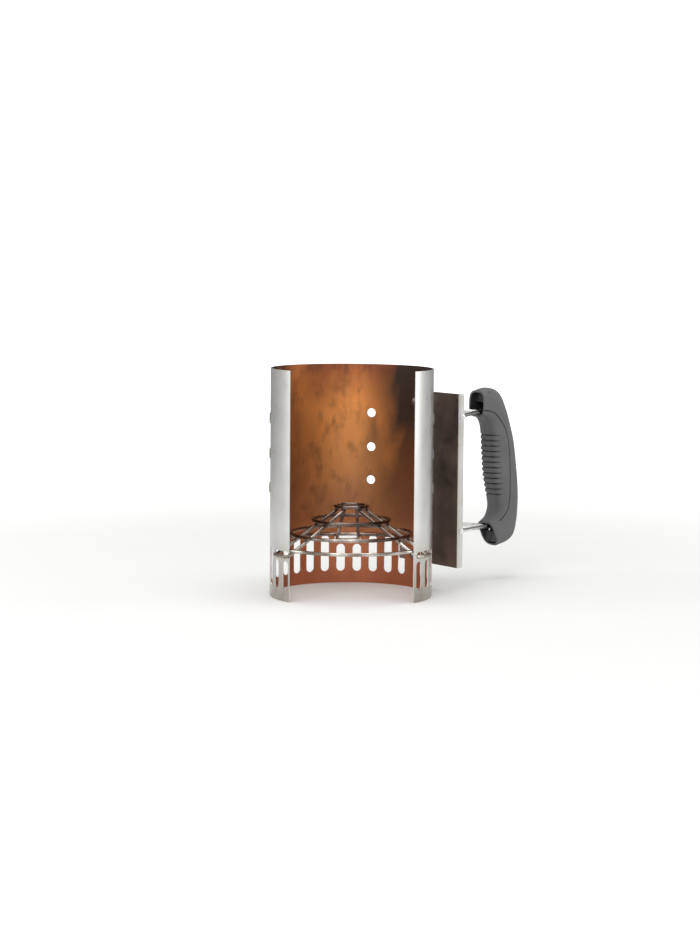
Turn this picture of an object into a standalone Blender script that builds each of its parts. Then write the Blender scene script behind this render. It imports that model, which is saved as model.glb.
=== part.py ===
"""Chimney charcoal starter: a cutaway display model of a small sheet-steel chimney with a conical wire
grate, a heat shield and a two-part grip on wire arms.

Units are metres, +Z is up and the handle points along +X. Every piece is placed from the chimney's axis,
where it meets the surface that the chimney stands on. The last step moves the whole assembly so that the
origin is under the middle of its footprint.
"""

import math

import bmesh
import bpy
from mathutils import Matrix, Vector

MM = 0.001
GAP = 0.3 * MM  # clearance that two touching pieces keep

# Chimney body: a rolled sheet with a cutaway front.
BODY_RADIUS = 77.5 * MM
BODY_HEIGHT = 217.0 * MM
BODY_SHEET = 0.8 * MM
BODY_STEPS = 90
BODY_TURN = math.radians(1.3)  # keeps the wall's facet lines off the tips of the slots
CUTAWAY_CENTRE = math.radians(-126.9)
CUTAWAY_HALF_ANGLE = math.radians(48.9)  # 0 leaves the wall whole

# Air slots in the skirt, one every 12 degrees except behind the handle.
SLOT_COUNT = 30
SLOT_WIDTH = 8.4 * MM
SLOT_BOTTOM = 11.5 * MM
SLOT_TOP = 47.5 * MM
SHORT_SLOT_TOP = 38.5 * MM  # below a grate ear

# Collared vent holes in the wall, in columns of three.
VENT_RADIUS = 4.3 * MM
VENT_COLLAR = 1.1 * MM
VENT_COLLAR_REACH = 0.8 * MM
VENT_HEIGHTS = (102.7 * MM, 135.4 * MM, 169.0 * MM)
VENT_ANGLES = tuple(math.radians(angle) for angle in (-142.0, -38.0, 38.0, 142.0))

# Lap seam of the rolled sheet, beside the shield's lower bolt.
SEAM_START = math.radians(3.8)
SEAM_END = math.radians(8.4)
SEAM_MARGIN = 0.6 * MM

# Conical grate: four rings on three hairpin legs.
GRATE_WIRE_RADIUS = 1.7 * MM
GRATE_RING_RADII = {
    "grate_top_ring": 15.2 * MM,
    "grate_second_ring": 36.5 * MM,
    "grate_third_ring": 57.5 * MM,
    "grate_base_ring": 74.6 * MM,
}
GRATE_BASE_HEIGHT = 48.5 * MM
GRATE_SLOPE = 0.62
GRATE_LEG_ANGLES = tuple(math.radians(angle) for angle in (55.0, 175.0, -65.0))
GRATE_LEG_START = 11.0 * MM  # radius at which a leg's two wires begin, under the top ring
GRATE_LEG_HALF_GAP = 5.7 * MM
GRATE_LEG_RUN_STEPS = 3  # pieces of each leg's long run
GRATE_LEG_BOW = 0.12 * MM  # how far the run sags between its ends
GRATE_EAR_HALF_WIDTH = 10.5 * MM
GRATE_EAR_REACH = 79.6 * MM
GRATE_EAR_HEIGHT = 43.0 * MM
EAR_SLOT_WIDTH = 26.0 * MM
EAR_SLOT_HEIGHT = 6.4 * MM

# Heat shield: a flat sheet with two lips turned out towards the grip.
SHIELD_FACE = 95.4 * MM  # middle of the sheet, from the chimney's axis
SHIELD_SHEET = 0.8 * MM
SHIELD_HALF_WIDTH = 45.1 * MM
SHIELD_BOTTOM = 22.7 * MM
SHIELD_TOP = 191.6 * MM
SHIELD_LIP = 6.2 * MM
SHIELD_BEND = 1.4 * MM
SHIELD_CORNER = 1.6 * MM

# Bolts that carry the shield, through a spacer sleeve each.
BOLT_HEIGHTS = {"lower": 32.5 * MM, "upper": 182.0 * MM}
BOLT_RADIUS = 2.0 * MM
BOLT_HOLE_RADIUS = 2.4 * MM
BOLT_HEAD_RADIUS = 4.0 * MM
BOLT_HEAD_HEIGHT = 2.2 * MM
BOLT_TAIL = 2.0 * MM
SPACER_RADIUS = 4.2 * MM
WASHER_RADIUS = 4.6 * MM
WASHER_THICKNESS = 0.9 * MM
NUT_RADIUS = 3.9 * MM  # across corners, halved
NUT_HEIGHT = 3.1 * MM

# Handle arms: two bent wires, each hooked into one lip at both ends.
ARM_RADIUS = 1.9 * MM
ARM_HEAD_SCALE = 1.5
ARM_HEAD_LENGTH = 1.3 * MM
ARM_HOLE_RADIUS = 2.25 * MM
ARM_FROM_FACE = 3.5 * MM
ARM_UPPER_HEIGHT = 169.5 * MM
ARM_LOWER_HEIGHT = 58.2 * MM
ARM_GRIP_LOWER_HEIGHT = 54.0 * MM
ARM_SPREAD = 41.0 * MM  # half spacing just inside the lips
ARM_PAIR = 2.3 * MM  # half spacing inside the grip
ARM_ENTRY_UPPER = 160.5 * MM  # where the two wires come together
ARM_ENTRY_LOWER = 172.5 * MM
ARM_BACK_UPPER = 186.0 * MM
ARM_BACK_LOWER = 189.5 * MM
ARM_BEND = 8.0 * MM
ARM_HOOK_BEND = 3.5 * MM

# Grip: a hollow curved bar in two halves. Each station is (finger-side x, z, back x, z), from the
# upper end to the lower end.
GRIP_STATIONS = (
    (156.0, 164.0, 156.5, 190.4),
    (160.5, 163.2, 169.3, 192.8),
    (165.3, 158.0, 180.4, 187.8),
    (167.8, 150.0, 188.8, 173.4),
    (168.3, 140.0, 195.3, 156.3),
    (168.8, 128.0, 200.8, 138.0),
    (170.6, 108.0, 205.3, 109.0),
    (174.3, 91.0, 207.2, 87.0),
    (177.6, 80.0, 206.7, 69.8),
    (178.3, 73.0, 205.2, 56.4),
    (176.0, 65.8, 201.6, 44.0),
    (172.5, 61.5, 193.8, 37.6),
    (168.0, 58.5, 179.4, 33.8),
)
GRIP_HALF_WIDTH = 11.9 * MM
GRIP_WALL = 2.0 * MM
GRIP_FINGER_SQUARENESS = 4.0  # exponents of the section's two superellipse halves
GRIP_BACK_SQUARENESS = 3.0
GRIP_SECTION_POINTS = 7
GRIP_PLAIN_STEPS = 2  # cross-sections between stations, outside the finger ribs
GRIP_RIB_TOP = 145.3 * MM
GRIP_RIB_BOTTOM = 85.9 * MM
GRIP_RIB_COUNT = 11
GRIP_RIB_STEPS = 3
GRIP_RIB_DEPTH = 1.1 * MM
GRIP_BOSSES = {"upper": (173.5 * MM, 181.5 * MM), "middle": (179.0 * MM, 117.0 * MM),
               "lower": (186.0 * MM, 47.3 * MM)}
BOSS_RADIUS = 4.2 * MM
SCREW_RADIUS = 1.3 * MM
SCREW_HOLE_RADIUS = 1.65 * MM
SCREW_HEAD_RADIUS = 2.7 * MM
SCREW_HEAD_HEIGHT = 1.9 * MM
SCREW_RECESS = 4.6 * MM  # how deep the head sits below the grip's side
SCREW_LENGTH = 12.0 * MM
RIB_PLATE = 1.4 * MM

COLLECTION_NAME = "chimney_charcoal_starter"
FINISHES = {
    "aluminised_steel": ((0.62, 0.62, 0.60), 0.38, 1.0),
    "zinc_plated_steel": ((0.55, 0.55, 0.53), 0.32, 1.0),
    "plated_wire": ((0.66, 0.65, 0.62), 0.22, 1.0),
    "grate_wire": ((0.36, 0.33, 0.30), 0.34, 1.0),
    "grip_plastic": ((0.13, 0.13, 0.14), 0.62, 0.0),
}


# ---------------------------------------------------------------- scene helpers


def clear_scene():
    for obj in list(bpy.data.objects):
        bpy.data.objects.remove(obj, do_unlink=True)


def new_collection(name):
    collection = bpy.data.collections.new(name)
    bpy.context.scene.collection.children.link(collection)
    return collection


def make_finish(name):
    colour, roughness, metallic = FINISHES[name]
    finish = bpy.data.materials.new(name)
    finish.use_nodes = True
    shader = finish.node_tree.nodes["Principled BSDF"]
    shader.inputs["Base Color"].default_value = (*colour, 1.0)
    shader.inputs["Roughness"].default_value = roughness
    shader.inputs["Metallic"].default_value = metallic
    return finish


class Workshop:
    """The collections, the root empty and the finishes that every piece shares."""

    def __init__(self):
        self.parts = new_collection(COLLECTION_NAME)
        self.cutters = new_collection(COLLECTION_NAME + "_cutters")
        self.root = bpy.data.objects.new("assembly_root", None)
        self.parts.objects.link(self.root)
        self.finishes = {name: make_finish(name) for name in FINISHES}

    def piece(self, name, data, finish, matrix=None):
        """A visible piece, held by the root empty."""
        obj = bpy.data.objects.new(name, data)
        data.materials.append(self.finishes[finish])
        self.parts.objects.link(obj)
        obj.parent = self.root
        if matrix is not None:
            obj.matrix_local = matrix
        return obj

    def cutter(self, name, mesh, matrix=None):
        """A helper for a Boolean, kept out of the render."""
        obj = bpy.data.objects.new(name, mesh)
        self.cutters.objects.link(obj)
        obj.parent = self.root
        if matrix is not None:
            obj.matrix_local = matrix
        obj.hide_render = True
        obj.display_type = "WIRE"
        return obj


def boolean(obj, helper, operation):
    modifier = obj.modifiers.new(f"{operation.lower()}_{helper.name}", "BOOLEAN")
    modifier.operation = operation
    modifier.solver = "EXACT"
    modifier.object = helper


# ---------------------------------------------------------------- shape helpers


def circle(radius, count=16, centre=(0.0, 0.0)):
    turns = (2 * math.pi * index / count for index in range(count))
    return [(centre[0] + radius * math.cos(turn), centre[1] + radius * math.sin(turn)) for turn in turns]


def oblong(width, height, steps=4):
    """Outline of a slot with round ends, long side along its greater size, centred on (0, 0)."""
    radius = min(width, height) / 2
    reach = max(width, height) / 2 - radius
    points = []
    for side in (1, -1):
        for index in range(steps + 1):
            turn = math.pi * (index / steps - 0.5)
            along = side * (reach + radius * math.cos(turn))
            across = side * radius * math.sin(turn)
            points.append((along, across) if width > height else (-across, along))
    return points


def curve_mesh(curve):
    """The mesh that a curve makes, with its caps welded on."""
    carrier = bpy.data.objects.new(curve.name, curve)
    bpy.context.scene.collection.objects.link(carrier)
    bpy.context.view_layer.update()
    graph = bpy.context.evaluated_depsgraph_get()
    mesh = bpy.data.meshes.new_from_object(carrier.evaluated_get(graph))
    bpy.data.objects.remove(carrier, do_unlink=True)
    work = bmesh.new()
    work.from_mesh(mesh)
    bmesh.ops.remove_doubles(work, verts=work.verts, dist=1e-6)
    bmesh.ops.recalc_face_normals(work, faces=work.faces)
    work.to_mesh(mesh)
    work.free()
    return mesh


def plate(name, outlines, thickness):
    """A flat plate in the XY plane, centred on z = 0. Outlines after the first are holes."""
    curve = bpy.data.curves.new(name, "CURVE")
    curve.dimensions = "2D"
    curve.fill_mode = "BOTH"
    curve.extrude = thickness / 2
    for outline in outlines:
        spline = curve.splines.new("POLY")
        spline.points.add(len(outline) - 1)
        for point, (x, y) in zip(spline.points, outline):
            point.co = (x, y, 0.0, 1.0)
        spline.use_cyclic_u = True
    return curve_mesh(curve)


def joined(name, meshes):
    """One mesh out of (mesh, matrix) pairs."""
    work = bmesh.new()
    for mesh, matrix in meshes:
        copy = mesh.copy()
        copy.transform(matrix)
        work.from_mesh(copy)
        bpy.data.meshes.remove(copy)
    result = bpy.data.meshes.new(name)
    work.to_mesh(result)
    work.free()
    return result


def turned(obj, profile, steps, closed=False):
    """Fills obj's mesh with a profile of (radius, height) points and turns it about Z."""
    links = [(index, index + 1) for index in range(len(profile) - 1)]
    if closed:
        links.append((len(profile) - 1, 0))
    obj.data.from_pydata([(radius, 0.0, height) for radius, height in profile], links, [])
    screw = obj.modifiers.new("turn", "SCREW")
    screw.axis = "Z"
    screw.angle = 2 * math.pi
    screw.steps = steps
    screw.render_steps = steps
    screw.use_merge_vertices = True
    screw.merge_threshold = 1e-6
    screw.use_smooth_shade = False


def rounded_route(corners, bends, steps=5):
    """Points along straight runs whose inner corners are rounded to the given bend radii."""
    route = [Vector(corners[0])]
    for index in range(1, len(corners) - 1):
        corner = Vector(corners[index])
        back = (Vector(corners[index - 1]) - corner).normalized()
        ahead = (Vector(corners[index + 1]) - corner).normalized()
        turn = math.pi - back.angle(ahead)
        reach = bends[index - 1] * math.tan(turn / 2)
        centre = corner + (back + ahead).normalized() * (bends[index - 1] / math.cos(turn / 2))
        first = corner + back * reach - centre
        axis = first.cross(corner + ahead * reach - centre).normalized()
        for step in range(steps + 1):
            route.append(centre + Matrix.Rotation(turn * step / steps, 3, axis) @ first)
    route.append(Vector(corners[-1]))
    return route


def wire(name, route, radius, scales=None):
    """A round wire along a route. Scales widen it where it has a head."""
    curve = bpy.data.curves.new(name, "CURVE")
    curve.dimensions = "3D"
    curve.bevel_depth = radius
    curve.bevel_resolution = 2
    curve.use_fill_caps = True
    spline = curve.splines.new("POLY")
    spline.points.add(len(route) - 1)
    for index, point in enumerate(route):
        spline.points[index].co = (*point, 1.0)
        spline.points[index].radius = scales[index] if scales else 1.0
    return curve


def facing(angle, radius=0.0, height=0.0):
    """Puts a shape drawn in the XY plane upright on the chimney's wall, its normal pointing outwards."""
    upright = Matrix(((0, 0, 1, 0), (1, 0, 0, 0), (0, 1, 0, 0), (0, 0, 0, 1)))
    return Matrix.Rotation(angle, 4, "Z") @ Matrix.Translation((radius, 0, height)) @ upright


def along_x(x, height, y=0.0):
    """Turns a shape made along +Z so that it points along +X."""
    return Matrix.Translation((x, y, height)) @ Matrix.Rotation(math.pi / 2, 4, "Y")


# ---------------------------------------------------------------- chimney body


def cutaway_outline():
    far = 1.5 * BODY_RADIUS
    steps = 6
    points = [(0.0, 0.0)]
    for index in range(steps + 1):
        angle = CUTAWAY_CENTRE + CUTAWAY_HALF_ANGLE * (2 * index / steps - 1)
        points.append((far * math.cos(angle), far * math.sin(angle)))
    return points


def apart(first, second):
    """Smallest angle between two directions."""
    return abs((first - second + math.pi) % (2 * math.pi) - math.pi)


def skirt_slots():
    """(mesh, matrix) of each air slot's cutter."""
    depth = 12 * MM
    pitch = 2 * math.pi / SLOT_COUNT
    ear_shadow = math.asin(EAR_SLOT_WIDTH / 2 / BODY_RADIUS) + pitch / 3
    shapes = {}
    for top in (SLOT_TOP, SHORT_SLOT_TOP):
        shapes[top] = plate("slot", [oblong(SLOT_WIDTH, top - SLOT_BOTTOM)], depth)
    cutters = []
    for index in range(1, SLOT_COUNT):
        angle = index * pitch
        below_ear = min(apart(angle, leg) for leg in GRATE_LEG_ANGLES) < ear_shadow
        top = SHORT_SLOT_TOP if below_ear else SLOT_TOP
        cutters.append((shapes[top], facing(angle, BODY_RADIUS, (top + SLOT_BOTTOM) / 2)))
    return cutters


def ear_slots():
    shape = plate("ear_slot", [oblong(EAR_SLOT_WIDTH, EAR_SLOT_HEIGHT)], 12 * MM)
    middle = GRATE_EAR_HEIGHT - GRATE_WIRE_RADIUS - GAP + EAR_SLOT_HEIGHT / 2
    return [(shape, facing(angle, BODY_RADIUS, middle)) for angle in GRATE_LEG_ANGLES]


def vent_positions():
    return [(angle, height) for angle in VENT_ANGLES for height in VENT_HEIGHTS
            if apart(angle, CUTAWAY_CENTRE) > CUTAWAY_HALF_ANGLE]


def vent_collars():
    depth = VENT_COLLAR_REACH + BODY_SHEET
    shape = plate("collar", [circle(VENT_RADIUS + VENT_COLLAR)], depth)
    radius = BODY_RADIUS + VENT_COLLAR_REACH - depth / 2
    return [(shape, facing(angle, radius, height)) for angle, height in vent_positions()]


def vent_holes():
    shape = plate("vent", [circle(VENT_RADIUS)], 12 * MM)
    return [(shape, facing(angle, BODY_RADIUS, height)) for angle, height in vent_positions()]


def bolt_holes():
    shape = plate("bolt_hole", [circle(BOLT_HOLE_RADIUS, 12)], 12 * MM)
    return [(shape, facing(0.0, BODY_RADIUS, height)) for height in BOLT_HEIGHTS.values()]


def lap_seam():
    """The second layer of sheet along the seam."""
    steps = 2
    turns = [SEAM_START + (SEAM_END - SEAM_START) * index / steps for index in range(steps + 1)]
    inner, outer = BODY_RADIUS - BODY_SHEET / 2, BODY_RADIUS + BODY_SHEET
    outline = [(outer * math.cos(turn), outer * math.sin(turn)) for turn in turns]
    outline += [(inner * math.cos(turn), inner * math.sin(turn)) for turn in reversed(turns)]
    strip = plate("lap_seam", [outline], BODY_HEIGHT - 2 * SEAM_MARGIN)
    return [(strip, Matrix.Translation((0, 0, BODY_HEIGHT / 2)))]


def build_chimney_body(shop):
    mesh = bpy.data.meshes.new("chimney_body")
    body = shop.piece("chimney_body", mesh, "aluminised_steel", Matrix.Rotation(BODY_TURN, 4, "Z"))
    inside = BODY_RADIUS - BODY_SHEET
    ring = [(BODY_RADIUS, BODY_HEIGHT), (BODY_RADIUS, 0.0), (inside, 0.0), (inside, BODY_HEIGHT)]
    turned(body, ring, BODY_STEPS, closed=True)
    raised = joined("raised_features", vent_collars() + lap_seam())
    openings = joined("wall_openings", skirt_slots() + ear_slots() + vent_holes() + bolt_holes())
    boolean(body, shop.cutter("raised_features", raised), "UNION")
    boolean(body, shop.cutter("wall_openings", openings), "DIFFERENCE")
    if CUTAWAY_HALF_ANGLE > 0:
        wedge = plate("cutaway", [cutaway_outline()], 1.2 * BODY_HEIGHT)
        lift = Matrix.Translation((0, 0, BODY_HEIGHT / 2))
        boolean(body, shop.cutter("cutaway", wedge, lift), "DIFFERENCE")


# ---------------------------------------------------------------- grate


def ring_height(radius):
    base_radius = GRATE_RING_RADII["grate_base_ring"]
    return GRATE_BASE_HEIGHT + GRATE_SLOPE * (base_radius - radius)


def build_grate_rings(shop):
    for name, radius in GRATE_RING_RADII.items():
        segments = 24 if radius < 20 * MM else 40
        bpy.ops.mesh.primitive_torus_add(
            major_radius=radius, minor_radius=GRATE_WIRE_RADIUS, major_segments=segments, minor_segments=8
        )
        made = bpy.context.object
        mesh = made.data
        bpy.data.objects.remove(made, do_unlink=True)
        mesh.shade_smooth()
        shop.piece(name, mesh, "grate_wire", Matrix.Translation((0, 0, ring_height(radius))))


def leg_height(x, y):
    """Height of a leg's centre line, one wire below the rings it carries."""
    stack = (2 * GRATE_WIRE_RADIUS + GAP) * math.hypot(1, GRATE_SLOPE)
    return ring_height(math.hypot(x, y)) - stack


def leg_half():
    """One wire of a hairpin, from under the top ring to the end of the ear."""
    landing = BODY_RADIUS - 6 * MM
    spread = GRATE_EAR_HALF_WIDTH
    corner = 3.0 * MM
    corners = [
        (GRATE_LEG_START, GRATE_LEG_HALF_GAP, leg_height(GRATE_LEG_START, GRATE_LEG_HALF_GAP)),
        (landing, spread, leg_height(landing, spread)),
        (landing + 4.5 * MM, spread, GRATE_EAR_HEIGHT),
        (GRATE_EAR_REACH, spread, GRATE_EAR_HEIGHT),
        (GRATE_EAR_REACH, 0.0, GRATE_EAR_HEIGHT),
    ]
    route = rounded_route(corners, [2 * corner, corner, corner], steps=3)[:-1]
    run = []
    for step in range(GRATE_LEG_RUN_STEPS):
        share = step / GRATE_LEG_RUN_STEPS
        sag = Vector((0, 0, 4 * GRATE_LEG_BOW * share * (1 - share)))
        run.append(route[0].lerp(route[1], share) - sag)
    return run + route[1:]


def build_grate_legs(shop):
    half = leg_half()
    route = [Vector((point.x, -point.y, point.z)) for point in half] + half[::-1]
    for index, angle in enumerate(GRATE_LEG_ANGLES, start=1):
        curve = wire(f"grate_leg_{index}", route, GRATE_WIRE_RADIUS)
        shop.piece(f"grate_leg_{index}", curve, "grate_wire", Matrix.Rotation(angle, 4, "Z"))


# ---------------------------------------------------------------- heat shield


def shield_section():
    """Half of the folded sheet's middle line seen from above, from the centre to the lip's edge."""
    steps = 3
    points = [(SHIELD_FACE, 0.0)]
    for index in range(steps + 1):
        turn = math.pi / 2 * index / steps
        x = SHIELD_FACE + SHIELD_BEND * (1 - math.cos(turn))
        y = SHIELD_HALF_WIDTH - SHIELD_BEND * (1 - math.sin(turn))
        points.append((x, y))
    points.append((SHIELD_FACE + SHIELD_LIP - SHIELD_SHEET / 2, SHIELD_HALF_WIDTH))
    return points


def shield_corner_cuts():
    """Cutters that chamfer the four corners of the lips."""
    edge = SHIELD_FACE + SHIELD_LIP
    size = 2 * math.sqrt(2) * SHIELD_CORNER
    block = plate("corner", [[(-size / 2, -size / 2), (size / 2, -size / 2), (size / 2, size / 2),
                              (-size / 2, size / 2)]], 3 * SHIELD_HALF_WIDTH)
    turn = Matrix.Rotation(math.pi / 2, 4, "X") @ Matrix.Rotation(math.pi / 4, 4, "Z")
    shift = SHIELD_CORNER
    return [(block, Matrix.Translation((edge + shift, 0, height)) @ turn)
            for height in (SHIELD_BOTTOM - shift, SHIELD_TOP + shift)]


def arm_holes():
    shape = plate("arm_hole", [circle(ARM_HOLE_RADIUS, 12)], 3 * SHIELD_HALF_WIDTH)
    sideways = Matrix.Rotation(math.pi / 2, 4, "X")
    x = SHIELD_FACE + ARM_FROM_FACE
    return [(shape, Matrix.Translation((x, 0, height)) @ sideways)
            for height in (ARM_LOWER_HEIGHT, ARM_UPPER_HEIGHT)]


def build_heat_shield(shop):
    half = shield_section()
    section = [(x, -y) for x, y in reversed(half[1:])] + half[1:]
    sheet = bpy.data.meshes.new("heat_shield")
    work = bmesh.new()
    row = [work.verts.new((x, y, SHIELD_BOTTOM)) for x, y in section]
    edges = [work.edges.new(pair) for pair in zip(row, row[1:])]
    lifted = bmesh.ops.extrude_edge_only(work, edges=edges)["geom"]
    tops = [item for item in lifted if isinstance(item, bmesh.types.BMVert)]
    bmesh.ops.translate(work, verts=tops, vec=(0, 0, SHIELD_TOP - SHIELD_BOTTOM))
    work.to_mesh(sheet)
    work.free()
    shield = shop.piece("heat_shield", sheet, "aluminised_steel")
    solid = shield.modifiers.new("sheet", "SOLIDIFY")
    solid.thickness = SHIELD_SHEET
    solid.offset = 0.0
    bolt_hole = plate("bolt_hole", [circle(BOLT_HOLE_RADIUS, 12)], 12 * MM)
    bolts = [(bolt_hole, facing(0.0, SHIELD_FACE, height)) for height in BOLT_HEIGHTS.values()]
    cuts = joined("shield_openings", bolts + arm_holes())
    corners = joined("shield_corners", shield_corner_cuts())
    boolean(shield, shop.cutter("shield_openings", cuts), "DIFFERENCE")
    boolean(shield, shop.cutter("shield_corners", corners), "DIFFERENCE")


# ---------------------------------------------------------------- shield fixings


def shield_front():
    return SHIELD_FACE + SHIELD_SHEET / 2


def build_bolt(shop, level, height):
    """Dome-headed bolt, with its head inside the chimney."""
    seat = BODY_RADIUS - BODY_SHEET - 2 * GAP
    tip = shield_front() + WASHER_THICKNESS + NUT_HEIGHT + BOLT_TAIL
    dome = [(BOLT_HEAD_RADIUS * math.sin(turn), -BOLT_HEAD_HEIGHT * math.cos(turn))
            for turn in (math.pi / 2 * index / 3 for index in range(3, 0, -1))]
    length = tip - seat
    chamfer = 0.4 * MM
    profile = [(0.0, length), (BOLT_RADIUS - chamfer, length), (BOLT_RADIUS, length - chamfer),
               (BOLT_RADIUS, 0.0)] + dome + [(0.0, -BOLT_HEAD_HEIGHT)]
    name = f"shield_bolt_{level}"
    bolt = shop.piece(name, bpy.data.meshes.new(name), "zinc_plated_steel", along_x(seat, height))
    turned(bolt, profile, 16)


def build_spacer(shop, level, height):
    low = BODY_RADIUS + GAP
    length = SHIELD_FACE - SHIELD_SHEET / 2 - GAP - low
    bore = BOLT_RADIUS + GAP
    profile = [(SPACER_RADIUS, length), (SPACER_RADIUS, 0.0), (bore, 0.0), (bore, length)]
    name = f"shield_spacer_{level}"
    spacer = shop.piece(name, bpy.data.meshes.new(name), "zinc_plated_steel", along_x(low, height))
    turned(spacer, profile, 16, closed=True)


def build_washer_and_nut(shop, level, height):
    bore = circle(BOLT_RADIUS + GAP, 12)
    washer = plate("washer", [circle(WASHER_RADIUS, 20), bore], WASHER_THICKNESS)
    at = shield_front() + GAP + WASHER_THICKNESS / 2
    shop.piece(f"shield_washer_{level}", washer, "zinc_plated_steel", along_x(at, height))
    nut = plate("nut", [circle(NUT_RADIUS, 6), bore], NUT_HEIGHT)
    at += WASHER_THICKNESS / 2 + GAP + NUT_HEIGHT / 2
    shop.piece(f"shield_nut_{level}", nut, "zinc_plated_steel", along_x(at, height))


def build_shield_fixings(shop):
    for level, height in BOLT_HEIGHTS.items():
        build_bolt(shop, level, height)
        build_spacer(shop, level, height)
        build_washer_and_nut(shop, level, height)


# ---------------------------------------------------------------- handle arms


def arm_route(side):
    """One wire from the head outside a lip, through the grip and back to the same lip."""
    x = SHIELD_FACE + ARM_FROM_FACE
    outside = side * (SHIELD_HALF_WIDTH + SHIELD_SHEET / 2 + GAP + ARM_HEAD_LENGTH)
    inside, pair = side * ARM_SPREAD, side * ARM_PAIR
    corners = [
        (x, outside, ARM_UPPER_HEIGHT),
        (x, inside, ARM_UPPER_HEIGHT),
        (ARM_ENTRY_UPPER, pair, ARM_UPPER_HEIGHT),
        (ARM_BACK_UPPER, pair, ARM_UPPER_HEIGHT),
        (ARM_BACK_LOWER, pair, ARM_GRIP_LOWER_HEIGHT),
        (ARM_ENTRY_LOWER, pair, ARM_GRIP_LOWER_HEIGHT),
        (x, inside, ARM_LOWER_HEIGHT),
        (x, outside, ARM_LOWER_HEIGHT),
    ]
    bends = [ARM_HOOK_BEND, ARM_BEND, ARM_BEND, ARM_BEND, ARM_BEND, ARM_HOOK_BEND]
    return rounded_route(corners, bends)


def with_heads(route):
    """The route with a head's shoulder near both ends, and the wire's width factor at each point."""
    shoulder = 0.05 * MM
    start = (route[1] - route[0]).normalized()
    end = (route[-2] - route[-1]).normalized()
    head = [route[0], route[0] + start * ARM_HEAD_LENGTH, route[0] + start * (ARM_HEAD_LENGTH + shoulder)]
    tail = [route[-1] + end * (ARM_HEAD_LENGTH + shoulder), route[-1] + end * ARM_HEAD_LENGTH, route[-1]]
    points = head + route[1:-1] + tail
    wide = [ARM_HEAD_SCALE, ARM_HEAD_SCALE, 1.0]
    return points, wide + [1.0] * (len(route) - 2) + wide[::-1]


def build_handle_arms(shop):
    for name, side in (("handle_arm_left", 1), ("handle_arm_right", -1)):
        points, scales = with_heads(arm_route(side))
        shop.piece(name, wire(name, points, ARM_RADIUS, scales), "plated_wire")


# ---------------------------------------------------------------- grip


def between(before, start, end, after, t):
    """Catmull-Rom curve through start and end."""
    return 0.5 * (2 * start + (end - before) * t + (2 * before - 5 * start + 4 * end - after) * t**2
                  + (3 * start - before - 3 * end + after) * t**3)


def grip_station(position):
    """Finger-side and back points (x, z) at a position counted in stations from the upper end."""
    last = len(GRIP_STATIONS) - 1
    index = min(int(position), last - 1)
    picks = [GRIP_STATIONS[min(max(index + shift, 0), last)] for shift in (-1, 0, 1, 2)]
    t = position - index
    values = [between(*(pick[axis] for pick in picks), t) * MM for axis in range(4)]
    return Vector((values[0], 0.0, values[1])), Vector((values[2], 0.0, values[3]))


def position_at_height(height):
    """Position whose finger-side point lies at a height, found by halving."""
    low, high = 0.0, float(len(GRIP_STATIONS) - 1)
    for _ in range(40):
        middle = (low + high) / 2
        if grip_station(middle)[0].z > height:
            low = middle
        else:
            high = middle
    return low


def rib_wave(height):
    """0 in a groove between two finger ribs, 1 on a crest, and 0 beyond the ribs."""
    along = (GRIP_RIB_TOP - height) / (GRIP_RIB_TOP - GRIP_RIB_BOTTOM)
    if not 0.0 < along < 1.0:
        return 0.0
    return math.sin(math.pi * GRIP_RIB_COUNT * along) ** 2


def grip_positions():
    """Positions of the cross-sections: even outside the ribs, a few to each rib inside them."""
    first, last = position_at_height(GRIP_RIB_TOP), position_at_height(GRIP_RIB_BOTTOM)
    step = 1.0 / GRIP_PLAIN_STEPS
    plain = [index * step for index in range((len(GRIP_STATIONS) - 1) * GRIP_PLAIN_STEPS + 1)]
    count = GRIP_RIB_COUNT * GRIP_RIB_STEPS
    drop = (GRIP_RIB_TOP - GRIP_RIB_BOTTOM) / count
    ribbed = [position_at_height(GRIP_RIB_TOP - drop * index) for index in range(count + 1)]
    margin = step / 2
    return [p for p in plain if p < first - margin] + ribbed + [p for p in plain if p > last + margin]


def grip_point(finger, back, turn, half_width, side):
    """Point of a superellipse section: turn 0 is the finger side and pi is the back."""
    middle, reach = (finger + back) / 2, (back - finger) / 2
    power = 2 / (GRIP_FINGER_SQUARENESS if turn < math.pi / 2 else GRIP_BACK_SQUARENESS)
    along = -math.copysign(abs(math.cos(turn)) ** power, math.cos(turn))
    across = max(math.sin(turn), 0.0) ** power
    point = middle + reach * along
    point.y = side * (GAP / 2 + (half_width - GAP / 2) * across)
    return point


def grip_loop(position, side):
    """The C-shaped outline of one half's wall at one cross-section: outside first, then inside."""
    finger, back = grip_station(position)
    inward = (back - finger).normalized()
    turns = [math.pi * index / (GRIP_SECTION_POINTS - 1) for index in range(GRIP_SECTION_POINTS)]
    wave = GRIP_RIB_DEPTH * (rib_wave(finger.z) - 1.0)
    if not GRIP_RIB_BOTTOM < finger.z < GRIP_RIB_TOP:
        wave = 0.0
    loop = []
    for turn in turns:
        fade = max(0.0, math.cos(turn / 1.25)) if turn < 1.9 else 0.0
        point = grip_point(finger, back, turn, GRIP_HALF_WIDTH, side)
        loop.append(point - inward * wave * fade)
    inner_finger, inner_back = finger + inward * GRIP_WALL, back - inward * GRIP_WALL
    for turn in reversed(turns):
        loop.append(grip_point(inner_finger, inner_back, turn, GRIP_HALF_WIDTH - GRIP_WALL, side))
    return loop


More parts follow.
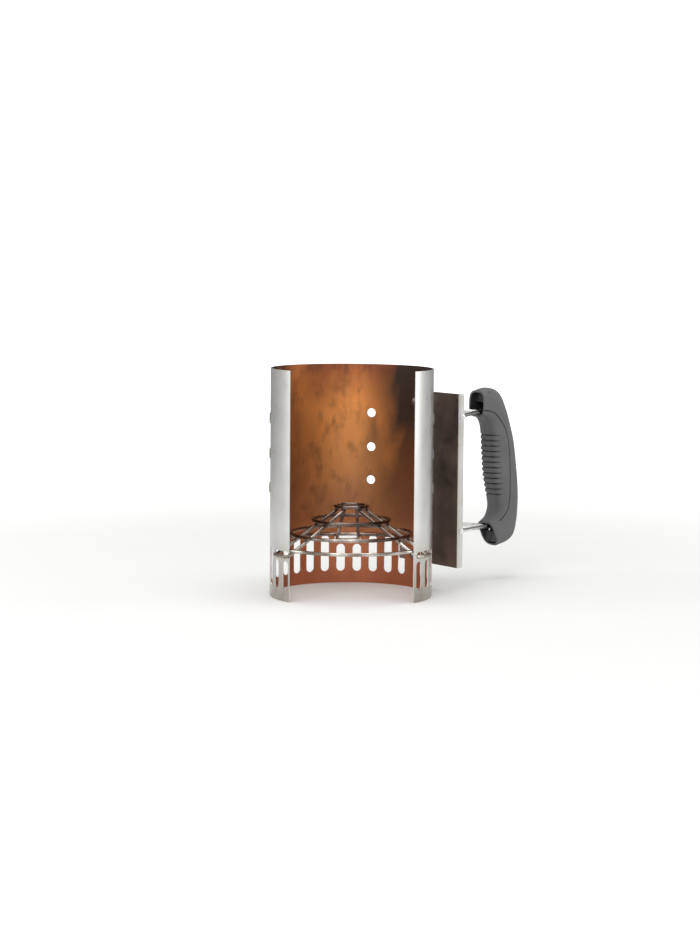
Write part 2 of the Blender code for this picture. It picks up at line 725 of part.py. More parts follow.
def grip_shell(name, side):
    """A loft through the C-shaped sections, closed by a strip of faces at each end."""
    work = bmesh.new()
    loops = [[work.verts.new(point) for point in grip_loop(position, side)] for position in grip_positions()]
    count = 2 * GRIP_SECTION_POINTS
    for here, there in zip(loops, loops[1:]):
        for index in range(count):
            after = (index + 1) % count
            work.faces.new((here[index], here[after], there[after], there[index]))
    for loop in (loops[0], loops[-1]):
        for index in range(GRIP_SECTION_POINTS - 1):
            work.faces.new((loop[index], loop[index + 1], loop[count - 2 - index], loop[count - 1 - index]))
    bmesh.ops.recalc_face_normals(work, faces=work.faces)
    mesh = bpy.data.meshes.new(name)
    work.to_mesh(mesh)
    work.free()
    return mesh


def across_y(x, height, start, end):
    """Places a plate drawn in the XY plane upright across the grip, between two depths."""
    turn = Matrix.Rotation(math.pi / 2, 4, "X")
    return Matrix.Translation((x, (start + end) / 2, height)) @ turn


def grip_fillings(side):
    """Screw bosses and stiffening ribs inside one half, reaching from the parting face into its wall."""
    near, far = side * GAP / 2, side * (GRIP_HALF_WIDTH - GRIP_WALL / 2)
    boss = plate("boss", [circle(BOSS_RADIUS, 12)], abs(far - near))
    pieces = [(boss, across_y(x, height, near, far)) for x, height in GRIP_BOSSES.values()]
    depth = abs(far - near) - 0.5 * MM
    shelf = [(-RIB_PLATE / 2, -5.5 * MM), (RIB_PLATE / 2, -5.5 * MM), (RIB_PLATE / 2, 5.5 * MM),
             (-RIB_PLATE / 2, 5.5 * MM)]
    upper = plate("rib", [shelf], depth)
    back = far - side * 0.5 * MM
    pieces.append((upper, across_y(163.5 * MM, 184.0 * MM, near, back)))
    pieces.append((upper, across_y(178.5 * MM, 43.0 * MM, near, back)))
    return joined("grip_filling", pieces)


def bores(name, radius, start, end):
    """One cutter for the same round hole at every boss, between two depths."""
    hole = plate(name, [circle(radius, 12)], abs(end - start))
    return joined(name, [(hole, across_y(x, height, start, end)) for x, height in GRIP_BOSSES.values()])


def build_grip_half(shop, name, side):
    """One half of the grip. The left half takes the screws' heads, and the right half their tips."""
    half = shop.piece(name, grip_shell(name, side), "grip_plastic")
    boolean(half, shop.cutter(f"{name}_filling", grip_fillings(side)), "UNION")
    tip = SCREW_LENGTH - GRIP_HALF_WIDTH + SCREW_RECESS
    deepest = GRIP_HALF_WIDTH if side > 0 else tip + 1 * MM
    holes = bores(f"{name}_screw_holes", SCREW_HOLE_RADIUS, -side * 1 * MM, side * deepest)
    boolean(half, shop.cutter(f"{name}_screw_holes", holes), "DIFFERENCE")
    if side > 0:
        floor = GRIP_HALF_WIDTH - SCREW_RECESS - GAP
        recesses = bores(f"{name}_recesses", SCREW_HEAD_RADIUS + GAP, floor, 1.2 * GRIP_HALF_WIDTH)
        boolean(half, shop.cutter(f"{name}_recesses", recesses), "DIFFERENCE")


def build_grip_screws(shop):
    seat = GRIP_HALF_WIDTH - SCREW_RECESS
    top = SCREW_HEAD_HEIGHT
    edge = 0.5 * MM
    profile = [(0.0, top), (SCREW_HEAD_RADIUS - edge, top), (SCREW_HEAD_RADIUS, top - edge),
               (SCREW_HEAD_RADIUS, 0.0), (SCREW_RADIUS, 0.0), (SCREW_RADIUS, -SCREW_LENGTH),
               (0.0, -SCREW_LENGTH)]
    for level, (x, height) in GRIP_BOSSES.items():
        place = Matrix.Translation((x, seat, height)) @ Matrix.Rotation(-math.pi / 2, 4, "X")
        name = f"grip_screw_{level}"
        screw = shop.piece(name, bpy.data.meshes.new(name), "zinc_plated_steel", place)
        turned(screw, profile, 14)


# ---------------------------------------------------------------- assembly


def centre_on_footprint(shop):
    """Moves the root so that the origin is under the middle of the assembly's outline."""
    bpy.context.view_layer.update()
    graph = bpy.context.evaluated_depsgraph_get()
    points = []
    for obj in shop.parts.objects:
        if obj.type != "EMPTY":
            ready = obj.evaluated_get(graph)
            points += [ready.matrix_world @ vertex.co for vertex in ready.to_mesh().vertices]
            ready.to_mesh_clear()
    for axis in (0, 1):
        values = [point[axis] for point in points]
        shop.root.location[axis] = -(min(values) + max(values)) / 2


def main():
    clear_scene()
    shop = Workshop()
    build_chimney_body(shop)
    build_grate_rings(shop)
    build_grate_legs(shop)
    build_heat_shield(shop)
    build_shield_fixings(shop)
    build_handle_arms(shop)
    build_grip_half(shop, "grip_half_left", 1)
    build_grip_half(shop, "grip_half_right", -1)
    build_grip_screws(shop)
    centre_on_footprint(shop)


main()
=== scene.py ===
"""Looks of the chimney charcoal starter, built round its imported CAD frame.

Every piece is drawn from the chimney's own axis, where it meets the floor, and is then moved to where the
frame has that axis. Sizes are in metres.
"""

import math
import bmesh  # noqa: E402
import bpy  # noqa: E402
import numpy as np  # noqa: E402
from mathutils import Matrix, Vector, noise  # noqa: E402


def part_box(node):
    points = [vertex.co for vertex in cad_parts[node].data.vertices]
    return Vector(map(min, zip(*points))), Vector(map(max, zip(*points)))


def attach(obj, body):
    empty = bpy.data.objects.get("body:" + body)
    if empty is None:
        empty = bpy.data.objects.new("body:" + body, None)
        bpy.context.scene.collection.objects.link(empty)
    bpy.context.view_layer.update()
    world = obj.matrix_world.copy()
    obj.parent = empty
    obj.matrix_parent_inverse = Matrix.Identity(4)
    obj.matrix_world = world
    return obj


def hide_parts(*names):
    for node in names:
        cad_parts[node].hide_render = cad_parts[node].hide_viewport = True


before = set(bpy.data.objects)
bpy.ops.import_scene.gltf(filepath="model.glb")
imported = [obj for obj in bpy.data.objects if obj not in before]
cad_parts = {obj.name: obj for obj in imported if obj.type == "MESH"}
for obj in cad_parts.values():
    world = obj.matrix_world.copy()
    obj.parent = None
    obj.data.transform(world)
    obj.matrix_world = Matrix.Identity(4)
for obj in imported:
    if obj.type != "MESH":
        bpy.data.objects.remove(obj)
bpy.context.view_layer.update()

MM = 0.001
UP = Vector((0, 0, 1))


def box_centre(node):
    low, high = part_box(node)
    return (low + high) / 2


# The chimney's axis, from the ring that lies against its wall.
AXIS = box_centre("grate_base_ring")
AXIS.z = 0.0

# Chimney wall.
WALL_RADIUS = 77.5 * MM
WALL_SHEET = 0.8 * MM
WALL_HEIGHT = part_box("chimney_body")[1].z
WALL_STEP = math.radians(2.0)  # angle between the wall's bend lines
CUTAWAY_CENTRE = math.radians(-126.9)
CUTAWAY_HALF_ANGLE = math.radians(48.9)
SLOT_PITCH = math.radians(12.0)
SLOT_WIDTH = 8.4 * MM
SLOT_BOTTOM = 11.5 * MM
SLOT_TOP = 47.5 * MM
SHORT_SLOT_TOP = 38.5 * MM
EAR_SLOT_WIDTH = 26.0 * MM
EAR_SLOT_HEIGHT = 6.4 * MM
VENT_RADIUS = 4.3 * MM
VENT_REACH = 0.8 * MM  # how far a vent's lip stands off the wall
VENT_HEIGHTS = (102.7 * MM, 135.4 * MM, 169.0 * MM)
VENT_ANGLES = tuple(math.radians(angle) for angle in (-38.0, 38.0, 142.0))
SEAM = (math.radians(3.8), math.radians(8.4))
SEAM_MARGIN = 0.6 * MM
SEAM_WELDS = 8

# Conical grate.
GRATE_WIRE = 1.7 * MM
GRATE_SLOPE = 0.62
GRATE_RINGS = ("grate_top_ring", "grate_second_ring", "grate_third_ring", "grate_base_ring")
LEG_ANGLES = tuple(math.radians(angle) for angle in (55.0, 175.0, -65.0))
LEG_START = 11.0 * MM
LEG_LANDING = WALL_RADIUS - 6 * MM  # how far out a leg leaves the cone's slope
LEG_BEND = 3.0 * MM
LEG_HALF_GAP = 5.7 * MM
EAR_HALF_WIDTH = 10.5 * MM
EAR_REACH = 79.6 * MM
EAR_HEIGHT = 43.0 * MM
EAR_RUN = 4.5 * MM  # from the landing to the level part of the ear
RING_STEPS = 144
BUTT_WELD = math.radians(100.0)  # where each ring's ends are welded together
BUTT_BEAD = (1.5, 1.95, 1.95)  # half sizes, mm
CROSSING_BEAD = (1.5, 2.1, 1.35)
BEAD_LUMPS = (0.16, 1.7)  # how high and how fine the lumps are, on a bead of radius 1
GAP = 0.3 * MM

# Heat shield.
SHIELD_LOW, SHIELD_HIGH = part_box("heat_shield")
SHIELD_SHEET = 0.8 * MM
SHIELD_FACE = SHIELD_LOW.x - AXIS.x + SHIELD_SHEET / 2
SHIELD_HALF_WIDTH = (SHIELD_HIGH.y - SHIELD_LOW.y - SHIELD_SHEET) / 2
SHIELD_LIP = SHIELD_HIGH.x - SHIELD_LOW.x
SHIELD_BEND = 1.6 * MM
SHIELD_CORNER = 2.0 * MM

# Fasteners.
BOLT_RADIUS = 2.0 * MM
BOLT_HOLE = 2.4 * MM
BOLT_HEAD_RISE = 2.2 * MM
BOLT_THREAD_START = 16.0 * MM  # from the top of the head
THREAD_PITCH = 0.7 * MM
THREAD_DEPTH = 0.35 * MM
NUT_STEPS = 96
NUT_CHAMFER = math.radians(30.0)
SCREW_RADIUS = 1.3 * MM
SCREW_HEAD = 2.7 * MM
SCREW_HEAD_HEIGHT = 1.9 * MM
SCREW_DOME = 0.55 * MM
CROSS_ARM = 0.45 * MM  # half width of the cross recess's arms
CROSS_REACH = 1.55 * MM
CROSS_TAPER = 0.62  # the recess's floor against its mouth

# Handle arms.
ARM_RADIUS = 1.9 * MM
ARM_HOLE = 2.25 * MM
ARM_HEAD = 2.8 * MM
ARM_HEAD_RISE = 1.3 * MM
ARM_BENDS = (3.5 * MM, 8.0 * MM, 8.0 * MM, 8.0 * MM, 8.0 * MM, 3.5 * MM)
ARM_FROM_FACE = 3.5 * MM
ARM_UPPER = 169.5 * MM
ARM_LOWER = 58.2 * MM
ARM_GRIP_LOWER = 54.0 * MM
ARM_SPREAD = 41.0 * MM
ARM_PAIR = 2.3 * MM
ARM_ENTRIES = (160.5 * MM, 172.5 * MM)  # upper, lower
ARM_BACKS = (186.0 * MM, 189.5 * MM)

# Grip: finger-side x, z, back x, z, and how far across the side its styling groove runs.
GRIP_STATIONS = (
    (156.0, 164.0, 156.5, 190.4, 0.27),
    (160.5, 163.2, 169.3, 192.8, 0.24),
    (165.3, 158.0, 180.4, 187.8, 0.33),
    (167.8, 150.0, 188.8, 173.4, 0.465),
    (168.3, 140.0, 195.3, 156.3, 0.62),
    (168.8, 128.0, 200.8, 138.0, 0.64),
    (170.6, 108.0, 205.3, 109.0, 0.60),
    (174.3, 91.0, 207.2, 87.0, 0.525),
    (177.6, 80.0, 206.7, 69.8, 0.44),
    (178.3, 73.0, 205.2, 56.4, 0.33),
    (176.0, 65.8, 201.6, 44.0, 0.20),
    (172.5, 61.5, 193.8, 37.6, 0.14),
    (168.0, 58.5, 179.4, 33.8, 0.12),
)
GRIP_HALF_WIDTH = 11.9 * MM
GRIP_WALL = 2.0 * MM
GRIP_SQUARENESS = (4.0, 3.0)  # superellipse exponents of the finger side and the back
GRIP_PARTING = 0.08 * MM  # half the gap between the two halves
GRIP_ROW = 0.6 * MM  # distance between two cross-sections
RIB_ROW = 0.3 * MM  # the same among the ribs
GRIP_GROOVE = (1.3 * MM, 0.9 * MM)  # width and depth
GROOVE_END = 10.5  # station where the groove fades out
GRIP_COLUMNS = (24, 9, 20)  # finger side to groove, across the groove, groove to back
RIB_TOP = 145.3 * MM
RIB_BOTTOM = 85.9 * MM
RIB_COUNT = 11
RIB_DEPTH = 1.4 * MM
RIB_SIDE_DEPTH = 1.25 * MM
RIB_SPARE = 4.0 * MM  # how far the denser rows run past the ribs
RIB_END_FADE = (0.05, 0.42)  # in ribs, past the first and the last groove
RIB_FRONT_FADE = (0.01, 0.12)  # shares of the way from the finger side to the back
RIB_SIDE_FADES = ((0.0, 0.05), (0.16, 0.34))
RIB_POWERS = (0.8, 2.2)  # roundness on the finger side, sharpness on the side
CREASE_SHADE_FADE = (171 * MM, 179 * MM)  # where the painted shade of the creases fades out, from the axis
CREASE_SHADE_LEAN = 0.4 * MM  # how much further out each lower crease's painted shade fades
CREASE_SHADE_WIDTH = (0.05, 0.17)  # in ribs, from a crease's middle to where its painted shade ends
CREASE_SHADE_ENDS = (0.1, 0.3)  # in ribs, how far the painted crease shade reaches past the first and the last crease
GRIP_SAMPLES = (1200, 600)  # along the grip, and round half a section
GRIP_MIDDLE = 0.35  # share of the way back at which the distance between rows is measured
GRIP_BOSSES = {"upper": (173.5 * MM, 181.5 * MM), "middle": (179.0 * MM, 117.0 * MM),
               "lower": (186.0 * MM, 47.3 * MM)}
BOSS_RADIUS = 4.2 * MM
SCREW_RECESS = 4.6 * MM
STIFFENERS = ((163.5 * MM, 184.0 * MM), (178.5 * MM, 43.0 * MM))

# Camera, from the chimney's axis.
CAMERA_AZIMUTH = math.radians(-37.6)
CAMERA_DISTANCE = 2.137
CAMERA_HEIGHT = 0.3388
CAMERA_PITCH = math.radians(5.763)
CAMERA_ROLL = math.radians(0.45)
CAMERA_LENS = 86.95  # mm, for a 36 mm sensor along the picture's long side
CAMERA_SHIFT = -0.0017

# Studio.
LIGHT_TARGET = 0.11  # height that the lights point at
LIGHTS = (  # name, view azimuth, distance, height, size, power, colour
    ("side_left", -122, 1.1, 0.45, (0.4, 0.9), 1.7, (1.0, 0.985, 0.96)),
    ("side_right", 60, 1.1, 0.45, (0.35, 0.9), 1.8, (1, 1, 1)),
    ("front_high", -60, 1.2, 1.1, (0.9, 0.6), 4.4, (1, 1, 1)),
    ("top", 0, 0.0, 1.1, (0.7, 0.7), 4.5, (1, 1, 1)),
)
SKY_COLOUR = (1.0, 0.995, 0.975, 1.0)
SKY_TURN = (0.15, 1.0)  # cosines to the direction behind, over which the sky darkens
FLOOR_STEPS = 96
FLOOR_DROP = 0.05 * MM
FLOOR_REACH = 1.6
FLOOR_FADE = (0.22, 1.5)
SKY_STRENGTH = (0.76, 0.27)  # at the sides and in front, and straight behind the chimney
BACKDROP_STRENGTH = 1.8
MIDDLE_GREY = (0.5, 0.5, 0.5, 1.0)  # under every finish's linked colour


# ---------------------------------------------------------------- material nodes


class Nodes:
    """Adds linked nodes to a node tree."""

    def __init__(self, tree):
        self.tree = tree

    def node(self, kind, **inputs):
        made = self.tree.nodes.new(kind)
        for name, value in inputs.items():
            self.feed(made.inputs[name.replace("_", " ")], value)
        return made

    def feed(self, socket, value):
        if isinstance(value, bpy.types.NodeSocket):
            self.tree.links.new(value, socket)
        else:
            socket.default_value = value

    def span(self, value, low, high, start=0.0, end=1.0):
        """Value mapped from low..high to start..end, and held there."""
        made = self.node("ShaderNodeMapRange", Value=value, From_Min=low, From_Max=high, To_Min=start,
                         To_Max=end)
        return made.outputs["Result"]


class Finish(Nodes):
    """Builds one node material around a Principled BSDF."""

    def __init__(self, name, metallic=0.0, roughness=0.5):
        self.material = bpy.data.materials.new(name)
        self.material.use_nodes = True
        super().__init__(self.material.node_tree)
        self.shader = self.tree.nodes["Principled BSDF"]
        self.shader.inputs["Metallic"].default_value = metallic
        self.shader.inputs["Roughness"].default_value = roughness
        self.shader.inputs["Base Color"].default_value = MIDDLE_GREY
        self.place = self.node("ShaderNodeTexCoord").outputs["Object"]

    def stretched(self, scale):
        """The place on the piece, stretched by a factor on each axis."""
        return self.node("ShaderNodeMapping", Vector=self.place, Scale=scale).outputs["Vector"]

    def grain(self, size, detail=3.0, stretch=(1, 1, 1), distortion=0.0):
        """Noise from 0 to 1 whose features are about size metres across."""
        scale = tuple(1.0 / (size * axis) for axis in stretch)
        made = self.node("ShaderNodeTexNoise", Vector=self.stretched(scale), Scale=1.0, Detail=detail,
                         Distortion=distortion)
        return made.outputs["Fac"]

    def height(self):
        return self.node("ShaderNodeSeparateXYZ", Vector=self.place).outputs["Z"]

    def math(self, operation, first, second=0.0):
        made = self.node("ShaderNodeMath")
        made.operation = operation
        self.feed(made.inputs[0], first)
        self.feed(made.inputs[1], second)
        return made.outputs["Value"]

    def ramp(self, value, stops):
        """Colours along a value: stops are (position, colour)."""
        made = self.node("ShaderNodeValToRGB", Fac=value)
        elements = made.color_ramp.elements
        while len(elements) < len(stops):
            elements.new(1.0)
        for element, (position, colour) in zip(elements, stops):
            element.position = position
            element.color = (*colour, 1.0)
        return made.outputs["Color"]

    def mix(self, share, first, second):
        made = self.node("ShaderNodeMix")
        made.data_type = "RGBA"
        self.feed(made.inputs["Factor"], share)
        for socket, value in ((made.inputs[6], first), (made.inputs[7], second)):
            self.feed(socket, value if isinstance(value, bpy.types.NodeSocket) else (*value, 1.0))
        return made.outputs[2]

    def colour(self, value):
        self.feed(self.shader.inputs["Base Color"], value)

    def roughness(self, value, low, high, start, end):
        self.feed(self.shader.inputs["Roughness"], self.span(value, low, high, start, end))

    def bump(self, value, depth, strength=1.0):
        made = self.node("ShaderNodeBump", Height=value, Strength=strength, Distance=depth)
        previous = self.shader.inputs["Normal"].links
        if previous:
            self.feed(made.inputs["Normal"], previous[0].from_socket)
        self.feed(self.shader.inputs["Normal"], made.outputs["Normal"])

    def relief(self, size, depth, strength, **grain):
        """Bumps from a grain of their own."""
        self.bump(self.grain(size, **grain), depth, strength)


def shell_finish():
    """Satin aluminised sheet: drawn streaks, soft mottling and a faint warm tint above the slots."""
    steel = Finish("shell_steel", metallic=1.0, roughness=0.3)
    mottle = steel.grain(22 * MM, detail=4.0)
    streak = steel.grain(1.6 * MM, detail=2.0, stretch=(1, 1, 26))
    base = steel.mix(steel.span(mottle, 0.35, 0.68), (0.66, 0.655, 0.625), (0.76, 0.758, 0.735))
    tone = steel.mix(steel.span(streak, 0.3, 0.7), base, (0.70, 0.698, 0.675))
    heat = steel.math("MULTIPLY", steel.span(steel.height(), 6 * MM, 70 * MM, 1.0, 0.0),
                      steel.span(steel.grain(14 * MM), 0.30, 0.60, 0.7, 1.0))
    steel.colour(steel.mix(heat, tone, (0.33, 0.295, 0.255)))
    steel.roughness(steel.math("ADD", mottle, streak), 0.6, 1.4, 0.25, 0.37)
    steel.bump(streak, 0.02 * MM, 0.25)
    steel.relief(34 * MM, 0.35 * MM, 0.25, detail=1.0)
    return steel.material


def chamber_finish():
    """The inside of the wall: straw, copper and brown heat colours, darker high up beside the cutaway."""
    steel = Finish("heat_tinted_steel", metallic=0.7, roughness=0.5)
    drift = steel.grain(34 * MM, detail=3.0, stretch=(1, 1, 1.8), distortion=0.5)
    level = steel.math("ADD", steel.span(steel.height(), 0.0, WALL_HEIGHT),
                       steel.span(drift, 0.3, 0.7, -0.08, 0.08))
    tint = steel.ramp(level, [
        (0.00, (0.52, 0.175, 0.085)), (0.16, (0.60, 0.205, 0.095)), (0.34, (0.56, 0.240, 0.100)),
        (0.58, (0.70, 0.285, 0.090)), (0.80, (0.92, 0.345, 0.095)), (1.00, (0.40, 0.120, 0.045)),
    ])
    back = CUTAWAY_CENTRE + math.pi
    turn = steel.node("ShaderNodeSeparateXYZ", Vector=steel.node(
        "ShaderNodeVectorRotate", Vector=steel.place, Angle=-back).outputs["Vector"])
    sideways = steel.math("ADD", turn.outputs["Y"], steel.span(drift, 0.3, 0.7, -11 * MM, 11 * MM))
    left = steel.span(sideways, 0.56 * WALL_RADIUS, 0.88 * WALL_RADIUS)
    right = steel.span(sideways, -0.18 * WALL_RADIUS, -0.62 * WALL_RADIUS)
    # the wall is made darker high up near both sides of the cutaway
    cutaway_sides = steel.math("MAXIMUM", left, right)
    upper = steel.math("MULTIPLY", cutaway_sides, steel.span(steel.height(), 40 * MM, 165 * MM, 0.20, 0.97))
    speck = steel.math("MULTIPLY", steel.span(steel.grain(9 * MM, detail=6.0, stretch=(1, 1, 2)), 0.5, 0.75),
                       steel.span(steel.height(), 30 * MM, 110 * MM, 0.2, 0.55))
    steel.colour(steel.mix(steel.math("MAXIMUM", upper, speck), tint, (0.040, 0.032, 0.028)))
    steel.roughness(steel.math("ADD", upper, drift), 0.3, 1.4, 0.38, 0.60)
    steel.relief(1.2 * MM, 0.03 * MM, 0.3, detail=3.0)
    steel.relief(30 * MM, 0.4 * MM, 0.3, detail=1.0)
    return steel.material


def edge_finish():
    """Sheared edges of the sheet."""
    steel = Finish("cut_edge_steel", metallic=1.0, roughness=0.35)
    scuff = steel.grain(2.5 * MM, detail=5.0)
    steel.colour(steel.mix(scuff, (0.55, 0.54, 0.53), (0.82, 0.82, 0.81)))
    steel.roughness(scuff, 0.3, 0.7, 0.25, 0.5)
    steel.relief(0.5 * MM, 0.03 * MM, 0.5, stretch=(1, 1, 6))
    return steel.material


def dark_lip_and_head_finish():
    """Dark steel: the vents' drawn lips, and the bolts' heads inside the chimney, which smoke has darkened.
    """
    steel = Finish("dark_lip_and_head_steel", metallic=0.9, roughness=0.42)
    smoke = steel.grain(2.4 * MM, detail=4.0)
    steel.colour(steel.mix(smoke, (0.13, 0.125, 0.115), (0.27, 0.262, 0.245)))
    steel.roughness(smoke, 0.3, 0.7, 0.34, 0.52)
    steel.relief(0.6 * MM, 0.03 * MM, 0.3, detail=3.0)
    return steel.material


def shield_inner_finish():
    """The side of the shield that faces the chimney, dulled by heat; painted shade makes it dark brown, and a
    painted firelight glow reddens it low down.
    """
    steel = Finish("shield_inner_steel", metallic=0.85, roughness=0.45)
    cloud = steel.grain(26 * MM, detail=5.0, distortion=0.8)
    fine = steel.grain(3 * MM, detail=4.0)
    # painted shade: the panel's dark brown
    tone = steel.mix(steel.span(cloud, 0.34, 0.68), (0.150, 0.112, 0.098), (0.265, 0.200, 0.170))
    # painted firelight glow, strongest low down
    painted_glow = steel.math("MULTIPLY", steel.span(steel.height(), 30 * MM, 110 * MM, 0.55, 0.0),
                     steel.span(cloud, 0.45, 0.7))
    steel.colour(steel.mix(painted_glow, tone, (0.20, 0.085, 0.062)))
    steel.roughness(steel.math("ADD", cloud, fine), 0.7, 1.3, 0.34, 0.56)
    steel.bump(fine, 0.02 * MM, 0.3)
    steel.relief(40 * MM, 0.3 * MM, 0.3, detail=1.0)
    return steel.material


def shield_finish():
    """The shield's outer side and lips: satin sheet, a little warm."""
    steel = Finish("shield_steel", metallic=1.0, roughness=0.32)
    cloud = steel.grain(24 * MM, detail=4.0)
    streak = steel.grain(1.4 * MM, detail=2.0, stretch=(1, 1, 30))
    steel.colour(steel.mix(steel.span(cloud, 0.35, 0.68), (0.60, 0.585, 0.56), (0.70, 0.69, 0.67)))
    steel.roughness(steel.math("ADD", cloud, streak), 0.6, 1.4, 0.26, 0.40)
    steel.bump(streak, 0.02 * MM, 0.3)
    steel.relief(40 * MM, 0.3 * MM, 0.25, detail=1.0)
    return steel.material


def grate_finish():
    """Plated wire that has been through fire: browned along its length, with fine scale, and painted light
    that brightens it low down and darkens it higher inside the chimney.
    """
    steel = Finish("grate_wire", metallic=1.0, roughness=0.22)
    patch = steel.grain(26 * MM, detail=2.0)
    scale = steel.grain(1.6 * MM, detail=4.0)
    # painted light and shade: brighter at the base ring, darker higher up inside the chimney
    painted_light = steel.span(steel.height(), 46 * MM, 70 * MM, 0.42, -0.12)
    tone = steel.ramp(steel.math("ADD", steel.span(patch, 0.3, 0.7), painted_light), [
        (0.0, (0.085, 0.058, 0.045)), (0.40, (0.17, 0.125, 0.10)), (0.75, (0.32, 0.27, 0.23)),
        (1.0, (0.62, 0.58, 0.53)),
    ])
    steel.colour(steel.mix(steel.span(scale, 0.52, 0.8, 0.0, 0.5), tone, (0.07, 0.055, 0.05)))
    steel.roughness(scale, 0.3, 0.75, 0.16, 0.36)
    steel.relief(0.9 * MM, 0.03 * MM, 0.35, detail=3.0)
    return steel.material


def weld_finish():
    """Weld beads: darker, with blue and straw rings."""
    steel = Finish("weld_bead", metallic=0.9, roughness=0.42)
    turn = steel.grain(2.2 * MM, detail=4.0, distortion=0.5)
    steel.colour(steel.ramp(turn, [
        (0.30, (0.06, 0.05, 0.05)), (0.48, (0.20, 0.14, 0.10)), (0.60, (0.16, 0.15, 0.19)),
        (0.75, (0.36, 0.32, 0.28)),
    ]))
    steel.roughness(turn, 0.3, 0.7, 0.3, 0.55)
    steel.relief(0.6 * MM, 0.08 * MM, 0.6, detail=4.0)
    return steel.material


def arm_finish():
    """Bright plated wire with fine drawing lines and small scuffs."""
    steel = Finish("arm_wire", metallic=1.0, roughness=0.16)
    scuff = steel.grain(4 * MM, detail=6.0, stretch=(2, 2, 1))
    steel.colour(steel.mix(steel.span(scuff, 0.45, 0.75), (0.80, 0.795, 0.78), (0.62, 0.61, 0.59)))
    steel.roughness(scuff, 0.35, 0.75, 0.12, 0.30)
    steel.relief(0.7 * MM, 0.02 * MM, 0.3, detail=3.0)
    return steel.material


def fastener_finish():
    """Zinc plating: cool silver with a faint yellow and blue passivation."""
    steel = Finish("zinc_plating", metallic=1.0, roughness=0.28)
    film = steel.grain(3.5 * MM, detail=3.0)
    steel.colour(steel.ramp(film, [
        (0.30, (0.66, 0.67, 0.70)), (0.52, (0.72, 0.71, 0.68)), (0.72, (0.60, 0.58, 0.52)),
    ]))
    steel.roughness(steel.grain(1.1 * MM, detail=4.0), 0.3, 0.7, 0.2, 0.42)
    steel.relief(0.5 * MM, 0.02 * MM, 0.4, detail=2.0)
    return steel.material


def grip_finish():
    """Spark-eroded moulded plastic, with painted shade darkening the creases between the finger ribs."""
    plastic = Finish("grip_plastic", roughness=0.55)
    plastic.shader.inputs["Specular IOR Level"].default_value = 0.42
    pores = plastic.grain(0.55 * MM, detail=5.0)
    cloud = plastic.grain(16 * MM, detail=3.0)
    tone = plastic.mix(plastic.span(cloud, 0.35, 0.68), (0.104, 0.104, 0.109), (0.124, 0.124, 0.130))
    tone = plastic.mix(plastic.span(pores, 0.55, 0.8, 0.0, 0.35), tone, (0.17, 0.17, 0.18))
    pitch = (RIB_TOP - RIB_BOTTOM) / RIB_COUNT
    along = plastic.math("DIVIDE", plastic.math("SUBTRACT", RIB_TOP, plastic.height()), pitch)
    nearest = plastic.math("ABSOLUTE", plastic.math("SUBTRACT", along, plastic.math("ROUND", along)))
    near, far = CREASE_SHADE_ENDS
    among = plastic.math("MULTIPLY", plastic.span(along, -far, -near),
                         plastic.span(along, RIB_COUNT + near, RIB_COUNT + far, 1.0, 0.0))
    across = plastic.node("ShaderNodeSeparateXYZ", Vector=plastic.place).outputs["X"]
    across = plastic.math("SUBTRACT", across, plastic.math("MULTIPLY", along, CREASE_SHADE_LEAN))
    among = plastic.math("MULTIPLY", among, plastic.span(across, *CREASE_SHADE_FADE, 1.0, 0.0))
    # painted shade: a dark line along each crease between the finger ribs
    painted_crease_shade = plastic.math("MULTIPLY", among, plastic.span(nearest, *CREASE_SHADE_WIDTH, 1.0, 0.0))
    plastic.colour(plastic.mix(painted_crease_shade, tone, (0.022, 0.022, 0.024)))
    plastic.roughness(plastic.math("ADD", pores, cloud), 0.6, 1.4, 0.48, 0.66)
    plastic.bump(pores, 0.05 * MM, 0.35)
    return plastic.material


def grip_hollow_shade_finish():
    """The grip's inside walls: the same plastic, made much darker with painted shade, and smoother."""
    plastic = Finish("grip_hollow_painted_shade", roughness=0.5)
    flow = plastic.grain(9 * MM, detail=4.0, stretch=(1, 1, 3))
    plastic.colour(plastic.mix(flow, (0.020, 0.020, 0.021), (0.040, 0.040, 0.042)))
    plastic.roughness(flow, 0.3, 0.7, 0.42, 0.6)
    plastic.relief(1.5 * MM, 0.04 * MM, 0.3, detail=2.0)
    return plastic.material


def groove_shade_finish():
    """The styling groove's floor, darkened with painted shade and mottled by a dust grain."""
    plastic = Finish("grip_groove_painted_shade", roughness=0.75)
    dust = plastic.grain(3 * MM, detail=4.0)
    plastic.colour(plastic.mix(dust, (0.022, 0.022, 0.024), (0.040, 0.040, 0.042)))
    plastic.relief(0.5 * MM, 0.04 * MM, 0.3)
    return plastic.material


def floor_finish():
    """A pale matte floor that fades out into the backdrop."""
    floor = Finish("studio_floor", roughness=0.7)
    dust = floor.grain(0.12, detail=4.0)
    floor.colour(floor.mix(dust, (0.86, 0.86, 0.855), (0.89, 0.89, 0.885)))
    reach = floor.node("ShaderNodeVectorMath", Vector=floor.place)
    reach.operation = "LENGTH"
    fade = floor.span(reach.outputs["Value"], *FLOOR_FADE, 1.0, 0.0)
    fade.node.interpolation_type = "SMOOTHSTEP"
    floor.feed(floor.shader.inputs["Alpha"], fade)
    return floor.material


FINISHES = {
    "shell": shell_finish(), "chamber": chamber_finish(), "edge": edge_finish(), "dark_lip_and_head": dark_lip_and_head_finish(),
    "shield": shield_finish(), "shield_inner": shield_inner_finish(), "grate": grate_finish(),
    "weld": weld_finish(), "arm": arm_finish(), "zinc": fastener_finish(), "grip": grip_finish(),
    "grip_inner": grip_hollow_shade_finish(), "grip_groove": groove_shade_finish(), "floor": floor_finish(),
}


# ---------------------------------------------------------------- pieces and meshes


def linked(name, data):
    """A new object in the scene."""
    obj = bpy.data.objects.new(name, data)
    bpy.context.scene.collection.objects.link(obj)
    return obj


